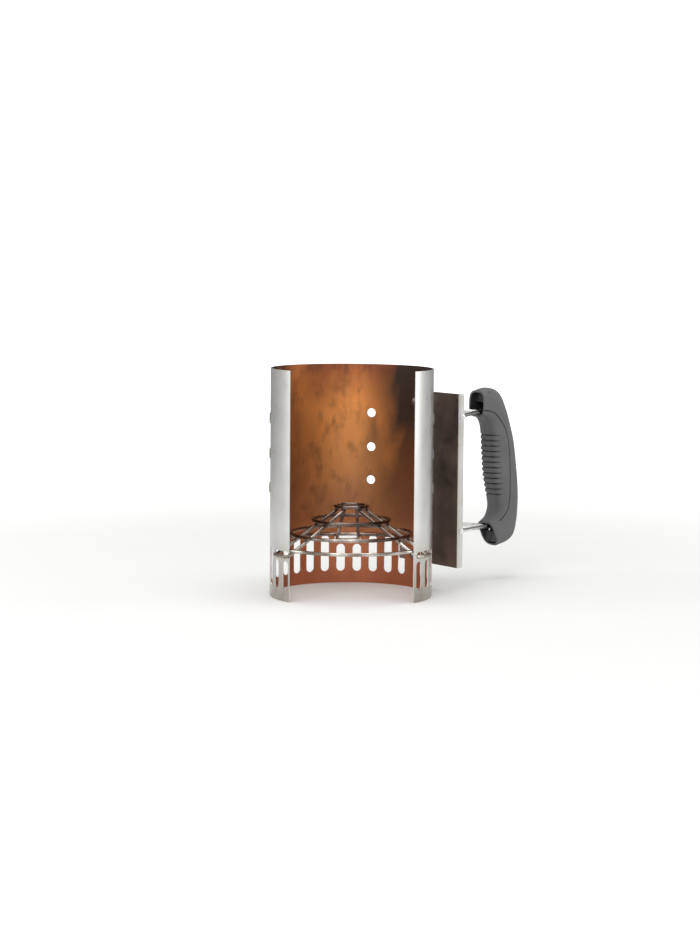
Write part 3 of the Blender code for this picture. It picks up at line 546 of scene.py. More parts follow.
def placed(point, turn, axis):
    """Turns a shape about an axis and moves it to a point."""
    return Matrix.Translation(point) @ Matrix.Rotation(turn, 4, axis)


def piece(name, mesh, finishes, nodes, matrix=None, sharp=38.0):
    """A shown piece: placed from the axis, shaded, riding on the body and standing for its CAD nodes."""
    mesh.name = name
    for finish in finishes:
        mesh.materials.append(FINISHES[finish])
    mesh.shade_smooth()
    mesh.set_sharp_from_angle(angle=math.radians(sharp))
    obj = linked(name, mesh)
    obj.matrix_world = Matrix.Translation(AXIS) @ (matrix or Matrix.Identity(4))
    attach(obj, "root")
    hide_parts(*nodes)


def finished(work, merge=1e-7):
    """A mesh out of a bmesh, welded and facing outwards."""
    if merge:
        bmesh.ops.remove_doubles(work, verts=work.verts, dist=merge)
    bmesh.ops.recalc_face_normals(work, faces=work.faces)
    mesh = bpy.data.meshes.new("mesh")
    work.to_mesh(mesh)
    work.free()
    return mesh


def joined(meshes):
    """One mesh out of (mesh, matrix, material index or None) triples."""
    work = bmesh.new()
    for mesh, matrix, index in meshes:
        copy = mesh.copy()
        copy.transform(matrix or Matrix.Identity(4))
        start = len(work.faces)
        work.from_mesh(copy)
        work.faces.ensure_lookup_table()
        if index is not None:
            for face in work.faces[start:]:
                face.material_index = index
        bpy.data.meshes.remove(copy)
    result = bpy.data.meshes.new("joined")
    work.to_mesh(result)
    work.free()
    return result


def grid_mesh(rows, wrap_rows=False, wrap_columns=True, caps=False):
    """Faces between neighbouring rows of points."""
    work = bmesh.new()
    made = [[work.verts.new(point) for point in row] for row in rows]
    count = len(rows[0])
    pairs = list(zip(made, made[1:])) + ([(made[-1], made[0])] if wrap_rows else [])
    for here, there in pairs:
        for column in range(count if wrap_columns else count - 1):
            after = (column + 1) % count
            work.faces.new((here[column], here[after], there[after], there[column]))
    if caps:
        work.faces.new(made[0])
        work.faces.new(made[-1])
    return finished(work)


def turned(profile, steps=48, closed=False):
    """A profile of (radius, height) points, or a function of the angle that gives one, turned about Z."""
    section = profile if callable(profile) else lambda turn: profile
    rows = [[(radius * math.cos(turn), radius * math.sin(turn), height) for radius, height in section(turn)]
            for turn in full_turn(steps)]
    return grid_mesh(rows, wrap_rows=True, wrap_columns=closed)


def full_turn(steps):
    """Angles round a circle, from 0 and without the last."""
    return [2 * math.pi * step / steps for step in range(steps)]


def quarter(steps):
    """Angles from 0 to a right angle."""
    return [math.pi / 2 * step / steps for step in range(steps + 1)]


def evaluated_mesh(data, cutter=None):
    """The mesh that a curve or a mesh makes, less a cutter mesh if there is one."""
    helpers = [linked("carrier", data)]
    if cutter:
        helpers.append(linked("cutter", cutter))
        modifier = helpers[0].modifiers.new("cut", "BOOLEAN")
        modifier.operation = "DIFFERENCE"
        modifier.solver = "EXACT"
        modifier.object = helpers[1]
    bpy.context.view_layer.update()
    graph = bpy.context.evaluated_depsgraph_get()
    mesh = bpy.data.meshes.new_from_object(helpers[0].evaluated_get(graph))
    for helper in helpers:
        bpy.data.objects.remove(helper, do_unlink=True)
    return mesh


def curve_mesh(curve):
    work = bmesh.new()
    work.from_mesh(evaluated_mesh(curve))
    return finished(work)


def wire(route, radius, closed=False, scales=None):
    """A round wire through the points of a route."""
    curve = bpy.data.curves.new("wire", "CURVE")
    curve.dimensions = "3D"
    curve.bevel_depth = radius
    curve.bevel_resolution = 6
    curve.use_fill_caps = not closed
    spline = curve.splines.new("POLY")
    spline.points.add(len(route) - 1)
    for index, point in enumerate(route):
        spline.points[index].co = (*point, 1.0)
        spline.points[index].radius = scales[index] if scales else 1.0
    spline.use_cyclic_u = closed
    return curve_mesh(curve)


def rounded_route(corners, bends, steps=12):
    """Points along straight runs whose inner corners are rounded to the given bend radii."""
    route = [Vector(corners[0])]
    for index in range(1, len(corners) - 1):
        corner = Vector(corners[index])
        back = (Vector(corners[index - 1]) - corner).normalized()
        ahead = (Vector(corners[index + 1]) - corner).normalized()
        turn = math.pi - back.angle(ahead)
        reach = bends[index - 1] * math.tan(turn / 2)
        centre = corner + (back + ahead).normalized() * (bends[index - 1] / math.cos(turn / 2))
        first = corner + back * reach - centre
        axis = first.cross(corner + ahead * reach - centre).normalized()
        for step in range(steps + 1):
            route.append(centre + Matrix.Rotation(turn * step / steps, 3, axis) @ first)
    route.append(Vector(corners[-1]))
    return route


def facing(angle, radius=0.0, height=0.0):
    """Turns a shape made along +Z so that it points outwards from the wall."""
    upright = Matrix(((0, 0, 1, 0), (1, 0, 0, 0), (0, 1, 0, 0), (0, 0, 0, 1)))
    return Matrix.Rotation(angle, 4, "Z") @ Matrix.Translation((radius, 0, height)) @ upright


def circle(radius, centre=(0.0, 0.0), steps=40):
    return [(centre[0] + radius * math.cos(turn), centre[1] + radius * math.sin(turn))
            for turn in full_turn(steps)]


def oblong(width, height, centre, steps=14):
    """Outline of a slot with round ends."""
    radius = min(width, height) / 2
    reach = max(width, height) / 2 - radius
    points = []
    for side in (1, -1):
        for step in range(steps + 1):
            turn = math.pi * (step / steps - 0.5)
            along, across = side * (reach + radius * math.cos(turn)), side * radius * math.sin(turn)
            u, v = (along, across) if width > height else (-across, along)
            points.append((centre[0] + u, centre[1] + v))
    return points


def rounded_rectangle(low_u, low_v, high_u, high_v, radius, steps=6):
    points = []
    for u, v, first in ((high_u, high_v, 0), (low_u, high_v, 1), (low_u, low_v, 2), (high_u, low_v, 3)):
        centre = (u - math.copysign(radius, u - (low_u + high_u) / 2),
                  v - math.copysign(radius, v - (low_v + high_v) / 2))
        for step in range(steps + 1):
            turn = math.pi / 2 * (first + step / steps)
            points.append((centre[0] + radius * math.cos(turn), centre[1] + radius * math.sin(turn)))
    return points


def slab(outlines, thickness, bends, trims=()):
    """A flat sheet from w = 0 to w = thickness. Outlines after the first are holes. The sheet gets an edge
    at every u in bends, so that it can be rolled there, and trims are (u, side kept) cuts."""
    curve = bpy.data.curves.new("sheet", "CURVE")
    curve.dimensions = "2D"
    curve.fill_mode = "FRONT"
    for outline in outlines:
        spline = curve.splines.new("POLY")
        spline.points.add(len(outline) - 1)
        for point, (u, v) in zip(spline.points, outline):
            point.co = (u, v, 0.0, 1.0)
        spline.use_cyclic_u = True
    flat = curve_mesh(curve)
    work = bmesh.new()
    work.from_mesh(flat)
    for u, side, trim in [(u, 1, False) for u in bends] + [(u, -kept, True) for u, kept in trims]:
        bmesh.ops.bisect_plane(work, geom=work.verts[:] + work.edges[:] + work.faces[:], dist=1e-7,
                               plane_co=(u, 0, 0), plane_no=(side, 0, 0), clear_outer=trim)
    top = bmesh.ops.extrude_face_region(work, geom=work.faces[:], use_keep_orig=True)["geom"]
    lifted = [item for item in top if isinstance(item, bmesh.types.BMVert)]
    bmesh.ops.translate(work, verts=lifted, vec=(0, 0, thickness))
    bmesh.ops.recalc_face_normals(work, faces=work.faces)
    return work


def formed(work, place, thickness, front=0, back=1):
    """Rolls or folds a slab: place(u, v, w) gives a point's position. Faces at w = 0 get the front finish,
    those at w = thickness the back finish, and the edges finish 2."""
    middle = thickness / 2
    for face in work.faces:
        depths = [vert.co.z for vert in face.verts]
        if max(depths) < middle:
            face.material_index = front
        elif min(depths) > middle:
            face.material_index = back
        else:
            face.material_index = 2
    for vert in work.verts:
        vert.co = place(*vert.co)
    return finished(work, merge=0)


# ---------------------------------------------------------------- chimney wall


def apart(first, second):
    return abs((first - second + math.pi) % (2 * math.pi) - math.pi)


def wall_range():
    """First and last angle of the wall, either side of the cutaway."""
    start = CUTAWAY_CENTRE + CUTAWAY_HALF_ANGLE
    return start, CUTAWAY_CENTRE - CUTAWAY_HALF_ANGLE + 2 * math.pi


def bolt_holes():
    """Outlines of the two bolt holes, in the unrolled wall and in the shield alike."""
    return [circle(BOLT_HOLE, (0.0, box_centre(f"shield_bolt_{level}").z)) for level in ("upper", "lower")]


def wall_holes(start, end):
    """Outlines of the holes in the unrolled wall, where u is the arc from angle 0 and v the height."""
    shadow = math.asin(EAR_SLOT_WIDTH / 2 / WALL_RADIUS) + SLOT_PITCH / 3
    holes = []
    count = round(2 * math.pi / SLOT_PITCH)
    for index in range(-count // 2, count + 1):
        angle = index * SLOT_PITCH
        if index == 0 or not start < angle < end:
            continue
        below_ear = min(apart(angle, leg) for leg in LEG_ANGLES) < shadow
        top = SHORT_SLOT_TOP if below_ear else SLOT_TOP
        centre = (angle * WALL_RADIUS, (top + SLOT_BOTTOM) / 2)
        holes.append(oblong(SLOT_WIDTH, top - SLOT_BOTTOM, centre))
    ear_middle = EAR_HEIGHT - GRATE_WIRE - GAP + EAR_SLOT_HEIGHT / 2
    for angle in LEG_ANGLES:
        holes.append(oblong(EAR_SLOT_WIDTH, EAR_SLOT_HEIGHT, (angle * WALL_RADIUS, ear_middle)))
    for angle in VENT_ANGLES:
        holes += [circle(VENT_RADIUS, (angle * WALL_RADIUS, height)) for height in VENT_HEIGHTS]
    return holes + bolt_holes()


def rolled(u, v, w):
    angle = u / WALL_RADIUS
    radius = WALL_RADIUS - w
    return Vector((radius * math.cos(angle), radius * math.sin(angle), v))


def vent_collar():
    """The drawn lip round one vent, standing on the wall's outer face."""
    bore, reach = VENT_RADIUS, VENT_REACH
    profile = [(bore + 1.4 * MM, -0.30 * MM), (bore + 1.15 * MM, 0.02 * MM), (bore + 0.9 * MM, 0.14 * MM),
               (bore + 0.65 * MM, reach - 0.05 * MM), (bore + 0.45 * MM, reach),
               (bore + 0.15 * MM, reach - 0.06 * MM), (bore, reach - 0.2 * MM), (bore, -0.85 * MM)]
    return turned(profile, steps=40, closed=True)


def spot_weld():
    """A shallow crater with a raised ring, left by a spot weld."""
    profile = [(0.0, -0.10 * MM), (1.0 * MM, -0.08 * MM), (1.5 * MM, 0.05 * MM), (1.9 * MM, 0.11 * MM),
               (2.3 * MM, 0.05 * MM), (2.6 * MM, -0.2 * MM), (0.0, -0.3 * MM)]
    return turned(profile, steps=28)


def lap_seam():
    """The outer layer of the lapped joint, with its row of spot welds."""
    start, end = (angle * WALL_RADIUS for angle in SEAM)
    outline = rounded_rectangle(start, SEAM_MARGIN, end, WALL_HEIGHT - SEAM_MARGIN, 0.6 * MM)
    bends = [start + (end - start) * step / 4 for step in range(1, 4)]
    overlap = 0.1 * MM
    thickness = WALL_SHEET + overlap
    strip = formed(slab([outline], thickness, bends),
                   lambda u, v, w: rolled(u, v, w - WALL_SHEET), thickness, 0, 0)
    found = [(strip, None, None)]
    middle = sum(SEAM) / 2
    for step in range(SEAM_WELDS):
        height = WALL_HEIGHT * (step + 0.5) / SEAM_WELDS
        found.append((spot_weld(), facing(middle, WALL_RADIUS + WALL_SHEET, height), 0))
    return found


def build_wall():
    start, end = wall_range()
    spare = math.radians(6.0)
    edges = [(start - spare) * WALL_RADIUS, (end + spare) * WALL_RADIUS]
    outline = [(edges[0], 0.0), (edges[1], 0.0), (edges[1], WALL_HEIGHT), (edges[0], WALL_HEIGHT)]
    count = int((end - start + 2 * spare) / WALL_STEP)
    bends = [edges[0] + (edges[1] - edges[0]) * step / count for step in range(1, count)]
    trims = [(start * WALL_RADIUS, 1), (end * WALL_RADIUS, -1)]
    sheet = slab([outline] + wall_holes(start, end), WALL_SHEET, bends, trims)
    parts = [(formed(sheet, rolled, WALL_SHEET), None, None)] + lap_seam()
    for angle in VENT_ANGLES:
        parts += [(vent_collar(), facing(angle, WALL_RADIUS, height), 3) for height in VENT_HEIGHTS]
    piece("chimney_wall", joined(parts), ("shell", "chamber", "edge", "dark_lip_and_head"), ["chimney_body"])


# ---------------------------------------------------------------- grate


def ring_facts(name):
    """Radius and height of a ring's centre line, from the frame."""
    low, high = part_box(name)
    return (high.x - low.x) / 2 - GRATE_WIRE, (low.z + high.z) / 2


def build_rings():
    for name in GRATE_RINGS:
        radius, height = ring_facts(name)
        route = [(x, y, height) for x, y in circle(radius, steps=RING_STEPS)]
        butt = (radius * math.cos(BUTT_WELD), radius * math.sin(BUTT_WELD), height)
        parts = [(wire(route, GRATE_WIRE, closed=True), None, 0),
                 (weld_bead(name_seed(name), BUTT_BEAD), placed(butt, BUTT_WELD + math.pi / 2, "Z"), 1)]
        piece(name + "_wire", joined(parts), ("grate", "weld"), [name])


def name_seed(name):
    """The same small number for the same name on every run."""
    return sum(ord(letter) for letter in name) % 97


def weld_bead(seed, size):
    """A lumpy bead whose half sizes are given in millimetres."""
    work = bmesh.new()
    bmesh.ops.create_icosphere(work, subdivisions=3, radius=1.0)
    rise, fineness = BEAD_LUMPS
    for vert in work.verts:
        lump = 1.0 + rise * noise.noise(vert.co * fineness + Vector((seed, 0, 0)))
        vert.co = Vector(axis * scale * lump * MM for axis, scale in zip(vert.co, size))
    return finished(work)


def leg_height(x, y, base):
    """Height of a leg's centre line under the rings. base is the base ring's radius and height."""
    stack = (2 * GRATE_WIRE + GAP) * math.hypot(1, GRATE_SLOPE)
    return base[1] + GRATE_SLOPE * (base[0] - math.hypot(x, y)) - stack


def leg_route(base):
    """One hairpin leg: down both sides of the cone and round the ear outside the wall."""
    corners = [
        (LEG_START, LEG_HALF_GAP, leg_height(LEG_START, LEG_HALF_GAP, base)),
        (LEG_LANDING, EAR_HALF_WIDTH, leg_height(LEG_LANDING, EAR_HALF_WIDTH, base)),
        (LEG_LANDING + EAR_RUN, EAR_HALF_WIDTH, EAR_HEIGHT),
        (EAR_REACH, EAR_HALF_WIDTH, EAR_HEIGHT),
        (EAR_REACH, 0.0, EAR_HEIGHT),
    ]
    half = rounded_route(corners, [2 * LEG_BEND, LEG_BEND, LEG_BEND])[:-1]
    return half + [Vector((point.x, -point.y, point.z)) for point in reversed(half)]


def crossings():
    """Places where a leg's two wires touch the rings, as (radius, height, angle from the leg's middle)."""
    tilt = math.hypot(1, GRATE_SLOPE)
    found = []
    for name in GRATE_RINGS:
        radius, height = ring_facts(name)
        if radius > LEG_LANDING:
            continue
        x = radius
        for _ in range(8):
            y = LEG_HALF_GAP + (EAR_HALF_WIDTH - LEG_HALF_GAP) * (x - LEG_START) / (LEG_LANDING - LEG_START)
            x = math.sqrt(radius**2 - y**2)
        turn = math.atan2(y, x)
        inner = radius - GRATE_WIRE * GRATE_SLOPE / tilt
        low = height - GRATE_WIRE / tilt
        found += [(inner, low, turn), (inner, low, -turn)]
    return found


def build_legs():
    base = ring_facts("grate_base_ring")
    for index, angle in enumerate(LEG_ANGLES, start=1):
        parts = [(wire(leg_route(base), GRATE_WIRE), None, 0)]
        for number, (radius, height, turn) in enumerate(crossings()):
            place = Matrix.Rotation(turn, 4, "Z") @ Matrix.Translation((radius, 0, height))
            bead = weld_bead(10 * index + number, CROSSING_BEAD)
            parts.append((bead, place @ Matrix.Rotation(math.atan(GRATE_SLOPE), 4, "Y"), 1))
        mesh = joined(parts)
        mesh.transform(Matrix.Rotation(angle, 4, "Z"))
        piece(f"grate_leg_wire_{index}", mesh, ("grate", "weld"), [f"grate_leg_{index}"])


# ---------------------------------------------------------------- heat shield


def folded(u, v, w):
    """The shield's fold: flat in the middle, then a bend and a lip on each side. w = 0 faces the chimney."""
    side = math.copysign(1.0, u)
    middle = SHIELD_BEND  # bend radius of the sheet's middle
    flat = SHIELD_HALF_WIDTH - middle
    depth = w - SHIELD_SHEET / 2
    reach = abs(u) - flat
    if reach <= 0:
        return Vector((SHIELD_FACE + depth, u, v))
    turn = min(reach / middle, math.pi / 2)
    beyond = max(reach - middle * math.pi / 2, 0.0)
    radius = middle - depth
    x = SHIELD_FACE + middle - radius * math.cos(turn) + beyond
    y = flat + radius * math.sin(turn)
    return Vector((x, side * y, v))


def build_shield():
    flat = SHIELD_HALF_WIDTH - SHIELD_BEND
    straight = SHIELD_LIP - SHIELD_SHEET / 2 - SHIELD_BEND
    edge = flat + SHIELD_BEND * math.pi / 2 + straight
    low, high = SHIELD_LOW.z, SHIELD_HIGH.z
    outline = rounded_rectangle(-edge, low, edge, high, SHIELD_CORNER)
    hole = flat + SHIELD_BEND * math.pi / 2 + ARM_FROM_FACE - SHIELD_BEND
    holes = [circle(ARM_HOLE, (side * hole, height)) for side in (1, -1) for height in (ARM_UPPER, ARM_LOWER)]
    steps = 8
    bends = [side * (flat + SHIELD_BEND * math.pi / 2 * step / steps) for side in (1, -1)
             for step in range(steps + 1)]
    sheet = slab([outline] + holes + bolt_holes(), SHIELD_SHEET, bends)
    mesh = formed(sheet, folded, SHIELD_SHEET, 1, 0)
    # Only the flat middle of the chimney-facing side keeps the painted shade and glow; the lips' inner faces
    # take the outer finish.
    for polygon in mesh.polygons:
        if polygon.material_index == 1 and abs(polygon.center.y) > flat + 0.4 * SHIELD_BEND:
            polygon.material_index = 0
    piece("folded_heat_shield", mesh, ("shield", "shield_inner", "edge"), ["heat_shield"])


# ---------------------------------------------------------------- fasteners


def threaded(radius, start, end):
    """Profile points of a thread's ridges between two heights."""
    points = []
    height = start
    while height + THREAD_PITCH < end:
        points += [(radius - THREAD_DEPTH, height), (radius, height + THREAD_PITCH / 2)]
        height += THREAD_PITCH
    return points + [(radius - THREAD_DEPTH, height), (radius - THREAD_DEPTH, end)]


def lying(node):
    """Length and radius of a node that lies along X, and what puts a shape made along +Z, from 0, onto it."""
    low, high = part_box(node)
    centre = (low + high) / 2 - AXIS
    place = placed((low.x - AXIS.x, centre.y, centre.z), math.pi / 2, "Y")
    return high.x - low.x, (high.z - low.z) / 2, place


def build_bolt(level):
    node = f"shield_bolt_{level}"
    length, head, place = lying(node)
    rise = BOLT_HEAD_RISE
    dome = [(head * math.sin(turn), rise * (1 - math.cos(turn))) for turn in quarter(10)]
    dome[-1] = (head, rise - 0.25 * MM)
    thread = threaded(BOLT_RADIUS, BOLT_THREAD_START, length - 0.4 * MM)
    profile = dome + [(head - 0.12 * MM, rise), (BOLT_RADIUS, rise),
                      (BOLT_RADIUS, BOLT_THREAD_START - 0.3 * MM)]
    profile += thread + [(BOLT_RADIUS - 2 * THREAD_DEPTH, length), (0.0, length)]
    mesh = turned(profile)
    for polygon in mesh.polygons:
        polygon.material_index = int(polygon.center.z < rise)
    piece(f"dome_bolt_{level}", mesh, ("zinc", "dark_lip_and_head"), [node], place)


def build_ring(label, node, bore, chamfer):
    """A spacer or a washer, with chamfered edges."""
    length, outer, place = lying(node)
    mesh = turned([(outer - chamfer, 0.0), (outer, chamfer), (outer, length - chamfer),
                   (outer - chamfer, length), (bore + chamfer, length), (bore, length - chamfer),
                   (bore, chamfer), (bore + chamfer, 0.0)], closed=True)
    piece(label, mesh, ("zinc",), [node], place)


def build_nut(level):
    """Hexagon nut with chamfered corners and a plain bore whose edges are eased."""
    node = f"shield_nut_{level}"
    height, corner, place = lying(node)
    flat = corner * math.cos(math.pi / 6)
    shoulder = flat - 0.1 * MM
    bore, edge = BOLT_RADIUS + 0.25 * MM, 0.3 * MM

    def section(turn):
        radius = flat / math.cos(turn % (math.pi / 3) - math.pi / 6)
        drop = (radius - shoulder) * math.tan(NUT_CHAMFER)
        return [(bore, edge), (bore, height - edge), (bore + edge, height), (shoulder, height),
                (radius, height - drop), (radius, drop), (shoulder, 0.0), (bore + edge, 0.0)]

    mesh = turned(section, steps=NUT_STEPS, closed=True)
    piece(f"hex_nut_{level}", mesh, ("zinc",), [node], place, sharp=25.0)


def cross_recess(depth):
    """A plus-shaped cutter, open towards +Z."""
    arm, reach = CROSS_ARM, CROSS_REACH
    outline = [(arm, arm), (arm, reach), (-arm, reach), (-arm, arm), (-reach, arm), (-reach, -arm),
               (-arm, -arm), (-arm, -reach), (arm, -reach), (arm, -arm), (reach, -arm), (reach, arm)]
    top = [(x, y, 1 * MM) for x, y in outline]
    bottom = [(CROSS_TAPER * x, CROSS_TAPER * y, -depth) for x, y in outline]
    return grid_mesh([top, bottom], caps=True)


def build_grip_screw(level):
    node = f"grip_screw_{level}"
    low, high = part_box(node)
    centre = (low + high) / 2 - AXIS
    length, head = high.y - low.y, SCREW_HEAD_HEIGHT
    dome = [(SCREW_HEAD * math.cos(turn), SCREW_DOME * (math.sin(turn) - 1)) for turn in quarter(8)]
    shank = [(radius, -height) for radius, height in threaded(SCREW_RADIUS, head + 1 * MM, length - 2 * MM)]
    profile = [(0.0, -length), (0.35 * MM, -length + 0.3 * MM)] + shank[::-1]
    profile += [(SCREW_RADIUS, -head), (SCREW_HEAD, -head)] + dome
    profile[-1] = (0.0, 0.0)
    mesh = evaluated_mesh(turned(profile, steps=40), cross_recess(1.1 * MM))
    place = placed((centre.x, high.y - AXIS.y, centre.z), -math.pi / 2, "X")
    piece(f"cross_screw_{level}", mesh, ("zinc",), [node], place)


def build_fasteners():
    for level in ("upper", "lower"):
        build_bolt(level)
        build_ring(f"spacer_sleeve_{level}", f"shield_spacer_{level}", BOLT_RADIUS + GAP, 0.35 * MM)
        build_ring(f"plain_washer_{level}", f"shield_washer_{level}", BOLT_RADIUS + GAP, 0.15 * MM)
        build_nut(level)
    for level in GRIP_BOSSES:
        build_grip_screw(level)


# ---------------------------------------------------------------- handle arms


def arm_route(side):
    """One wire from outside a lip, through the grip and back to the same lip."""
    x = SHIELD_FACE + ARM_FROM_FACE
    outside = side * (SHIELD_HALF_WIDTH + SHIELD_SHEET / 2 + GAP)
    inside, pair = side * ARM_SPREAD, side * ARM_PAIR
    corners = [
        (x, outside, ARM_UPPER), (x, inside, ARM_UPPER), (ARM_ENTRIES[0], pair, ARM_UPPER),
        (ARM_BACKS[0], pair, ARM_UPPER), (ARM_BACKS[1], pair, ARM_GRIP_LOWER),
        (ARM_ENTRIES[1], pair, ARM_GRIP_LOWER), (x, inside, ARM_LOWER), (x, outside, ARM_LOWER),
    ]
    return rounded_route(corners, ARM_BENDS)


def rivet_head():
    """The upset end of an arm wire, outside the lip."""
    rise = ARM_HEAD_RISE
    dome = [(ARM_HEAD * math.cos(turn), 0.35 * rise + 0.65 * rise * math.sin(turn)) for turn in quarter(8)]
    return turned([(0.0, -0.2 * MM), (ARM_RADIUS, -0.2 * MM), (ARM_RADIUS, 0.0), (ARM_HEAD - 0.1 * MM, 0.0)]
                  + dome[:-1] + [(0.0, rise)], steps=40)


def build_arms():
    for name, side in (("handle_arm_left", 1), ("handle_arm_right", -1)):
        route = arm_route(side)
        parts = [(wire(route, ARM_RADIUS), None, 0)]
        parts += [(rivet_head(), placed(end, -side * math.pi / 2, "X"), 0) for end in (route[0], route[-1])]
        piece(name + "_wire", joined(parts), ("arm",), [name])


# ---------------------------------------------------------------- grip


def between(before, start, end, after, t):
    """Catmull-Rom curve through start and end."""
    return 0.5 * (2 * start + (end - before) * t + (2 * before - 5 * start + 4 * end - after) * t**2
                  + (3 * start - before - 3 * end + after) * t**3)


def grip_station(position):
    """Finger-side point, back point and groove share at a position counted in stations."""
    last = len(GRIP_STATIONS) - 1
    index = min(int(position), last - 1)
    picks = [GRIP_STATIONS[min(max(index + shift, 0), last)] for shift in (-1, 0, 1, 2)]
    values = [between(*(pick[axis] for pick in picks), position - index) for axis in range(5)]
    return np.array(values[0:2]) * MM, np.array(values[2:4]) * MM, values[4]


def grip_positions():
    """Positions of the cross-sections: evenly spaced, and closer together among the ribs."""
    dense = np.linspace(0, len(GRIP_STATIONS) - 1, GRIP_SAMPLES[0])
    ends = [grip_station(position)[:2] for position in dense]
    middles = np.array([(1 - GRIP_MIDDLE) * finger + GRIP_MIDDLE * back for finger, back in ends])
    steps = np.linalg.norm(np.diff(middles, axis=0), axis=1)
    ribbed = (middles[1:, 1] < RIB_TOP + RIB_SPARE) & (middles[1:, 1] > RIB_BOTTOM - RIB_SPARE)
    rows = np.concatenate([[0.0], np.cumsum(steps / np.where(ribbed, RIB_ROW, GRIP_ROW))])
    return np.interp(np.linspace(0, rows[-1], int(rows[-1]) + 1), rows, dense)


def smooth_step(value, low, high):
    t = np.clip((value - low) / (high - low), 0.0, 1.0)
    return t * t * (3 - 2 * t)


def window(value, rise, fall):
    """1 between two soft steps, each given by where it starts and ends, and 0 outside them."""
    return smooth_step(value, *rise) * (1 - smooth_step(value, *fall))


def section_outline(reach, half_width):
    """Dense outline of half a section: (distance from its middle, depth across), and its length so far."""
    turns = np.linspace(0, math.pi, GRIP_SAMPLES[1])
    power = np.where(turns < math.pi / 2, 2 / GRIP_SQUARENESS[0], 2 / GRIP_SQUARENESS[1])
    along = -np.sign(np.cos(turns)) * np.abs(np.cos(turns)) ** power * reach
    across = np.maximum(np.sin(turns), 0.0) ** power * (half_width - GRIP_PARTING) + GRIP_PARTING
    length = np.concatenate([[0.0], np.cumsum(np.hypot(np.diff(along), np.diff(across)))])
    return along, across, length


def section_columns(along, length, share, reach):
    """Lengths at which one section's points lie: even, and closer together across the groove."""
    groove = np.interp((2 * share - 1) * reach, along, length)
    half = GRIP_GROOVE[0] / 2
    first, across, last = GRIP_COLUMNS
    return np.concatenate([
        np.linspace(0, groove - half, first, endpoint=False),
        np.linspace(groove - half, groove + half, across, endpoint=False),
        np.linspace(groove + half, length[-1], last + 1),
    ]), groove


def rib_sink(height, share):
    """How far the surface sinks between the finger ribs: round on the finger side, narrow on the side."""
    phase = (RIB_TOP - height) / (RIB_TOP - RIB_BOTTOM) * RIB_COUNT
    near, far = RIB_END_FADE
    ends = window(phase, (-far, -near), (RIB_COUNT + near, RIB_COUNT + far))
    wave = np.abs(np.sin(math.pi * phase))
    round_power, sharp_power = RIB_POWERS
    front = (1 - smooth_step(share, *RIB_FRONT_FADE)) * RIB_DEPTH * (1 - wave**round_power)
    return ends * (front + window(share, *RIB_SIDE_FADES) * RIB_SIDE_DEPTH * (1 - wave) ** sharp_power)


def section_axis(finger, back):
    """Middle of a section, its direction towards the back, and half its length."""
    reach = float(np.linalg.norm(back - finger)) / 2
    return (finger + back) / 2, (back - finger) / (2 * reach), reach


def section_points(middle, direction, along, across):
    return np.stack([middle[0] + direction[0] * along, across, middle[1] + direction[1] * along], axis=1)


def grip_outer_row(position, side):
    """The outside of one half at a section, with its ribs and its groove."""
    finger, back, share = grip_station(position)
    middle, direction, reach = section_axis(finger, back)
    along, across, length = section_outline(reach, GRIP_HALF_WIDTH)
    columns, groove = section_columns(along, length, share, reach)
    a, y = np.interp(columns, length, along), np.interp(columns, length, across)
    slope_a, slope_y = np.gradient(a), np.gradient(y)
    size = np.maximum(np.hypot(slope_a, slope_y), 1e-9)
    normal_a, normal_y = -slope_y / size, slope_a / size
    normal_y[0] = normal_y[-1] = 0.0
    height = middle[1] + direction[1] * a
    fade = 1 - smooth_step(position, GROOVE_END - 0.5, GROOVE_END + 0.4)
    bowl = np.clip(1 - (np.abs(columns - groove) / (GRIP_GROOVE[0] / 2)) ** 2, 0, 1)
    sink = rib_sink(height, (a + reach) / (2 * reach)) + GRIP_GROOVE[1] * fade * bowl
    return section_points(middle, direction, a - normal_a * sink, side * (y - normal_y * sink))


def grip_inner_row(position, side):
    """The hollow's wall at a section, from the back to the finger side."""
    middle, direction, reach = section_axis(*grip_station(position)[:2])
    along, across, length = section_outline(reach - GRIP_WALL, GRIP_HALF_WIDTH - GRIP_WALL)
    columns = np.linspace(0, length[-1], sum(GRIP_COLUMNS) + 1)
    a, y = np.interp(columns, length, along), np.interp(columns, length, across)
    return section_points(middle, direction, a, side * y)[::-1]


def grip_shell(side):
    """One moulded half: its outside, its hollow inside and the lips that join them."""
    positions = grip_positions()
    rows = [np.concatenate([grip_outer_row(position, side), grip_inner_row(position, side)])
            for position in positions]
    count = sum(GRIP_COLUMNS) + 1
    work = bmesh.new()
    made = [[work.verts.new(point) for point in row] for row in rows]
    for position, here, there in zip(positions, made, made[1:]):
        for column in range(2 * count):
            after = (column + 1) % (2 * count)
            face = work.faces.new((here[column], here[after], there[after], there[column]))
            in_groove = GRIP_COLUMNS[0] + 2 <= column < GRIP_COLUMNS[0] + GRIP_COLUMNS[1] - 2
            hollow = column >= count and after
            # Groove faces get the groove's painted shade, and faces in the hollow get the hollow's painted
            # shade.
            face.material_index = 2 if in_groove and position < GROOVE_END else 1 if hollow else 0
    for row in (made[0], made[-1]):
        for column in range(count - 1):
            work.faces.new((row[column], row[column + 1], row[-2 - column], row[-1 - column]))
    return finished(work, merge=0)


def boss_post(depth):
    """A screw post that stands on the inside of the shell and is drilled for its screw."""
    foot, bore = 0.4 * MM, SCREW_RADIUS + GAP
    profile = [(bore, 0.1 * MM), (BOSS_RADIUS - 0.25 * MM, 0.1 * MM), (BOSS_RADIUS, 0.35 * MM),
               (BOSS_RADIUS + foot, depth), (bore, depth)]
    return turned(profile, steps=36, closed=True)


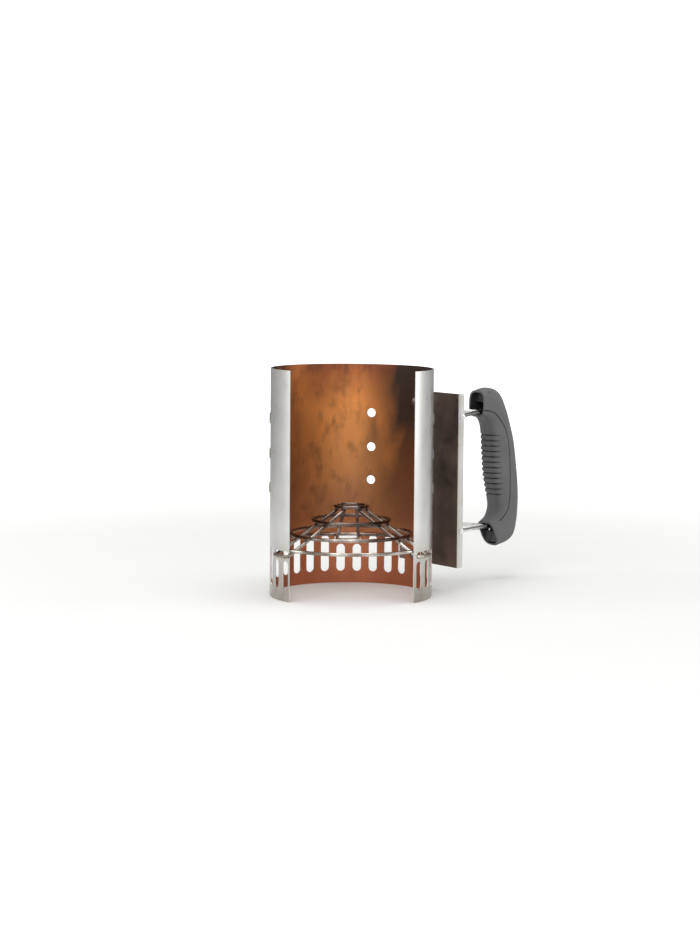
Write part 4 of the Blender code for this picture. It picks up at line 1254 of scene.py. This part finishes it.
def stiffener():
    """A thin web across the hollow, with eased edges."""
    half, reach, ease = 0.7 * MM, 5.5 * MM, 0.25 * MM
    outline = rounded_rectangle(-half, -reach, half, reach, 0.5 * MM, steps=3)
    depth = GRIP_HALF_WIDTH - GRIP_WALL + 0.3 * MM
    rows = [[(x * 0.8, y * 0.98, GRIP_PARTING) for x, y in outline],
            [(x, y, GRIP_PARTING + ease) for x, y in outline], [(x, y, depth) for x, y in outline]]
    return grid_mesh(rows, caps=True)


def build_grip_half(name, side):
    shell = grip_shell(side)
    if side > 0:
        for x, height in GRIP_BOSSES.values():
            bore = turned([(0.0, -SCREW_RECESS), (SCREW_HEAD + GAP, -SCREW_RECESS),
                           (SCREW_HEAD + GAP, 3 * MM), (0.0, 3 * MM)], steps=40)
            bore.transform(placed((x, GRIP_HALF_WIDTH, height), -math.pi / 2, "X"))
            shell = evaluated_mesh(shell, bore)
    outwards = -side * math.pi / 2
    depth = GRIP_HALF_WIDTH - (SCREW_RECESS + 0.05 * MM if side > 0 else GRIP_WALL - 0.3 * MM)
    parts = [(shell, None, None)]
    # Screw posts and stiffening webs inside the hollow take the hollow's painted shade.
    for made, places in ((lambda: boss_post(depth), GRIP_BOSSES.values()), (stiffener, STIFFENERS)):
        parts += [(made(), placed((x, 0, height), outwards, "X"), 1) for x, height in places]
    piece(name + "_moulding", joined(parts), ("grip", "grip_inner", "grip_groove"), [name],
          sharp=50.0)


# ---------------------------------------------------------------- studio


def soft_light(name, place, target, size, power, colour):
    lamp = bpy.data.lights.new(name, "AREA")
    lamp.shape = "RECTANGLE"
    lamp.size, lamp.size_y = size
    lamp.energy = power
    lamp.color = colour
    obj = linked(name, lamp)
    obj.location = place
    obj.rotation_euler = (Vector(target) - obj.location).to_track_quat("-Z", "Y").to_euler()


def round_view(azimuth, distance, height):
    """A place seen from the chimney at a view azimuth."""
    turn = math.radians(azimuth)
    return AXIS + Vector((math.sin(turn) * distance, -math.cos(turn) * distance, height))


def build_world():
    """A white backdrop for the camera, and a dimmer sky for light and reflections, darkest behind."""
    world = bpy.data.worlds.new("studio")
    world.use_nodes = True
    nodes = Nodes(world.node_tree)
    behind = nodes.node("ShaderNodeVectorMath")
    behind.operation = "DOT_PRODUCT"
    nodes.feed(behind.inputs[0], nodes.node("ShaderNodeTexCoord").outputs["Generated"])
    nodes.feed(behind.inputs[1], (-math.sin(CAMERA_AZIMUTH), math.cos(CAMERA_AZIMUTH), 0.0))
    sky = nodes.tree.nodes["Background"]
    nodes.feed(sky.inputs["Color"], SKY_COLOUR)
    nodes.feed(sky.inputs["Strength"], nodes.span(behind.outputs["Value"], *SKY_TURN, *SKY_STRENGTH))
    backdrop = nodes.node("ShaderNodeBackground", Strength=BACKDROP_STRENGTH)
    path = nodes.node("ShaderNodeLightPath")
    choice = nodes.node("ShaderNodeMixShader", Fac=path.outputs["Is Camera Ray"])
    nodes.feed(choice.inputs[1], sky.outputs["Background"])
    nodes.feed(choice.inputs[2], backdrop.outputs["Background"])
    nodes.feed(nodes.tree.nodes["World Output"].inputs["Surface"], choice.outputs["Shader"])
    bpy.context.scene.world = world


def build_studio():
    build_world()
    bpy.context.scene.view_settings.view_transform = "Standard"
    for name, azimuth, distance, height, size, power, colour in LIGHTS:
        soft_light(name, round_view(azimuth, distance, height), AXIS + UP * LIGHT_TARGET, size, power, colour)
    floor = bpy.data.meshes.new("studio_floor")
    rim = [(FLOOR_REACH * x, FLOOR_REACH * y, 0) for x, y in circle(1.0, steps=FLOOR_STEPS)]
    floor.from_pydata(rim, [], [tuple(range(FLOOR_STEPS))])
    floor.materials.append(FINISHES["floor"])
    obj = linked("studio_floor", floor)
    obj.location.z = -FLOOR_DROP


def build_camera():
    lens = bpy.data.cameras.new("camera")
    lens.lens = CAMERA_LENS
    lens.shift_x = CAMERA_SHIFT
    lens.clip_start, lens.clip_end = 0.05, 50.0
    camera = linked("camera", lens)
    back = Vector((math.sin(CAMERA_AZIMUTH), -math.cos(CAMERA_AZIMUTH), 0.0))
    camera.location = AXIS + back * CAMERA_DISTANCE + UP * CAMERA_HEIGHT
    upright = Matrix.Rotation(CAMERA_AZIMUTH, 4, "Z") @ Matrix.Rotation(math.pi / 2 - CAMERA_PITCH, 4, "X")
    camera.rotation_euler = (upright @ Matrix.Rotation(CAMERA_ROLL, 4, "Z")).to_euler()
    bpy.context.scene.camera = camera


def main():
    build_wall()
    build_rings()
    build_legs()
    build_shield()
    build_fasteners()
    build_arms()
    build_grip_half("grip_half_left", 1)
    build_grip_half("grip_half_right", -1)
    build_studio()
    build_camera()


main()
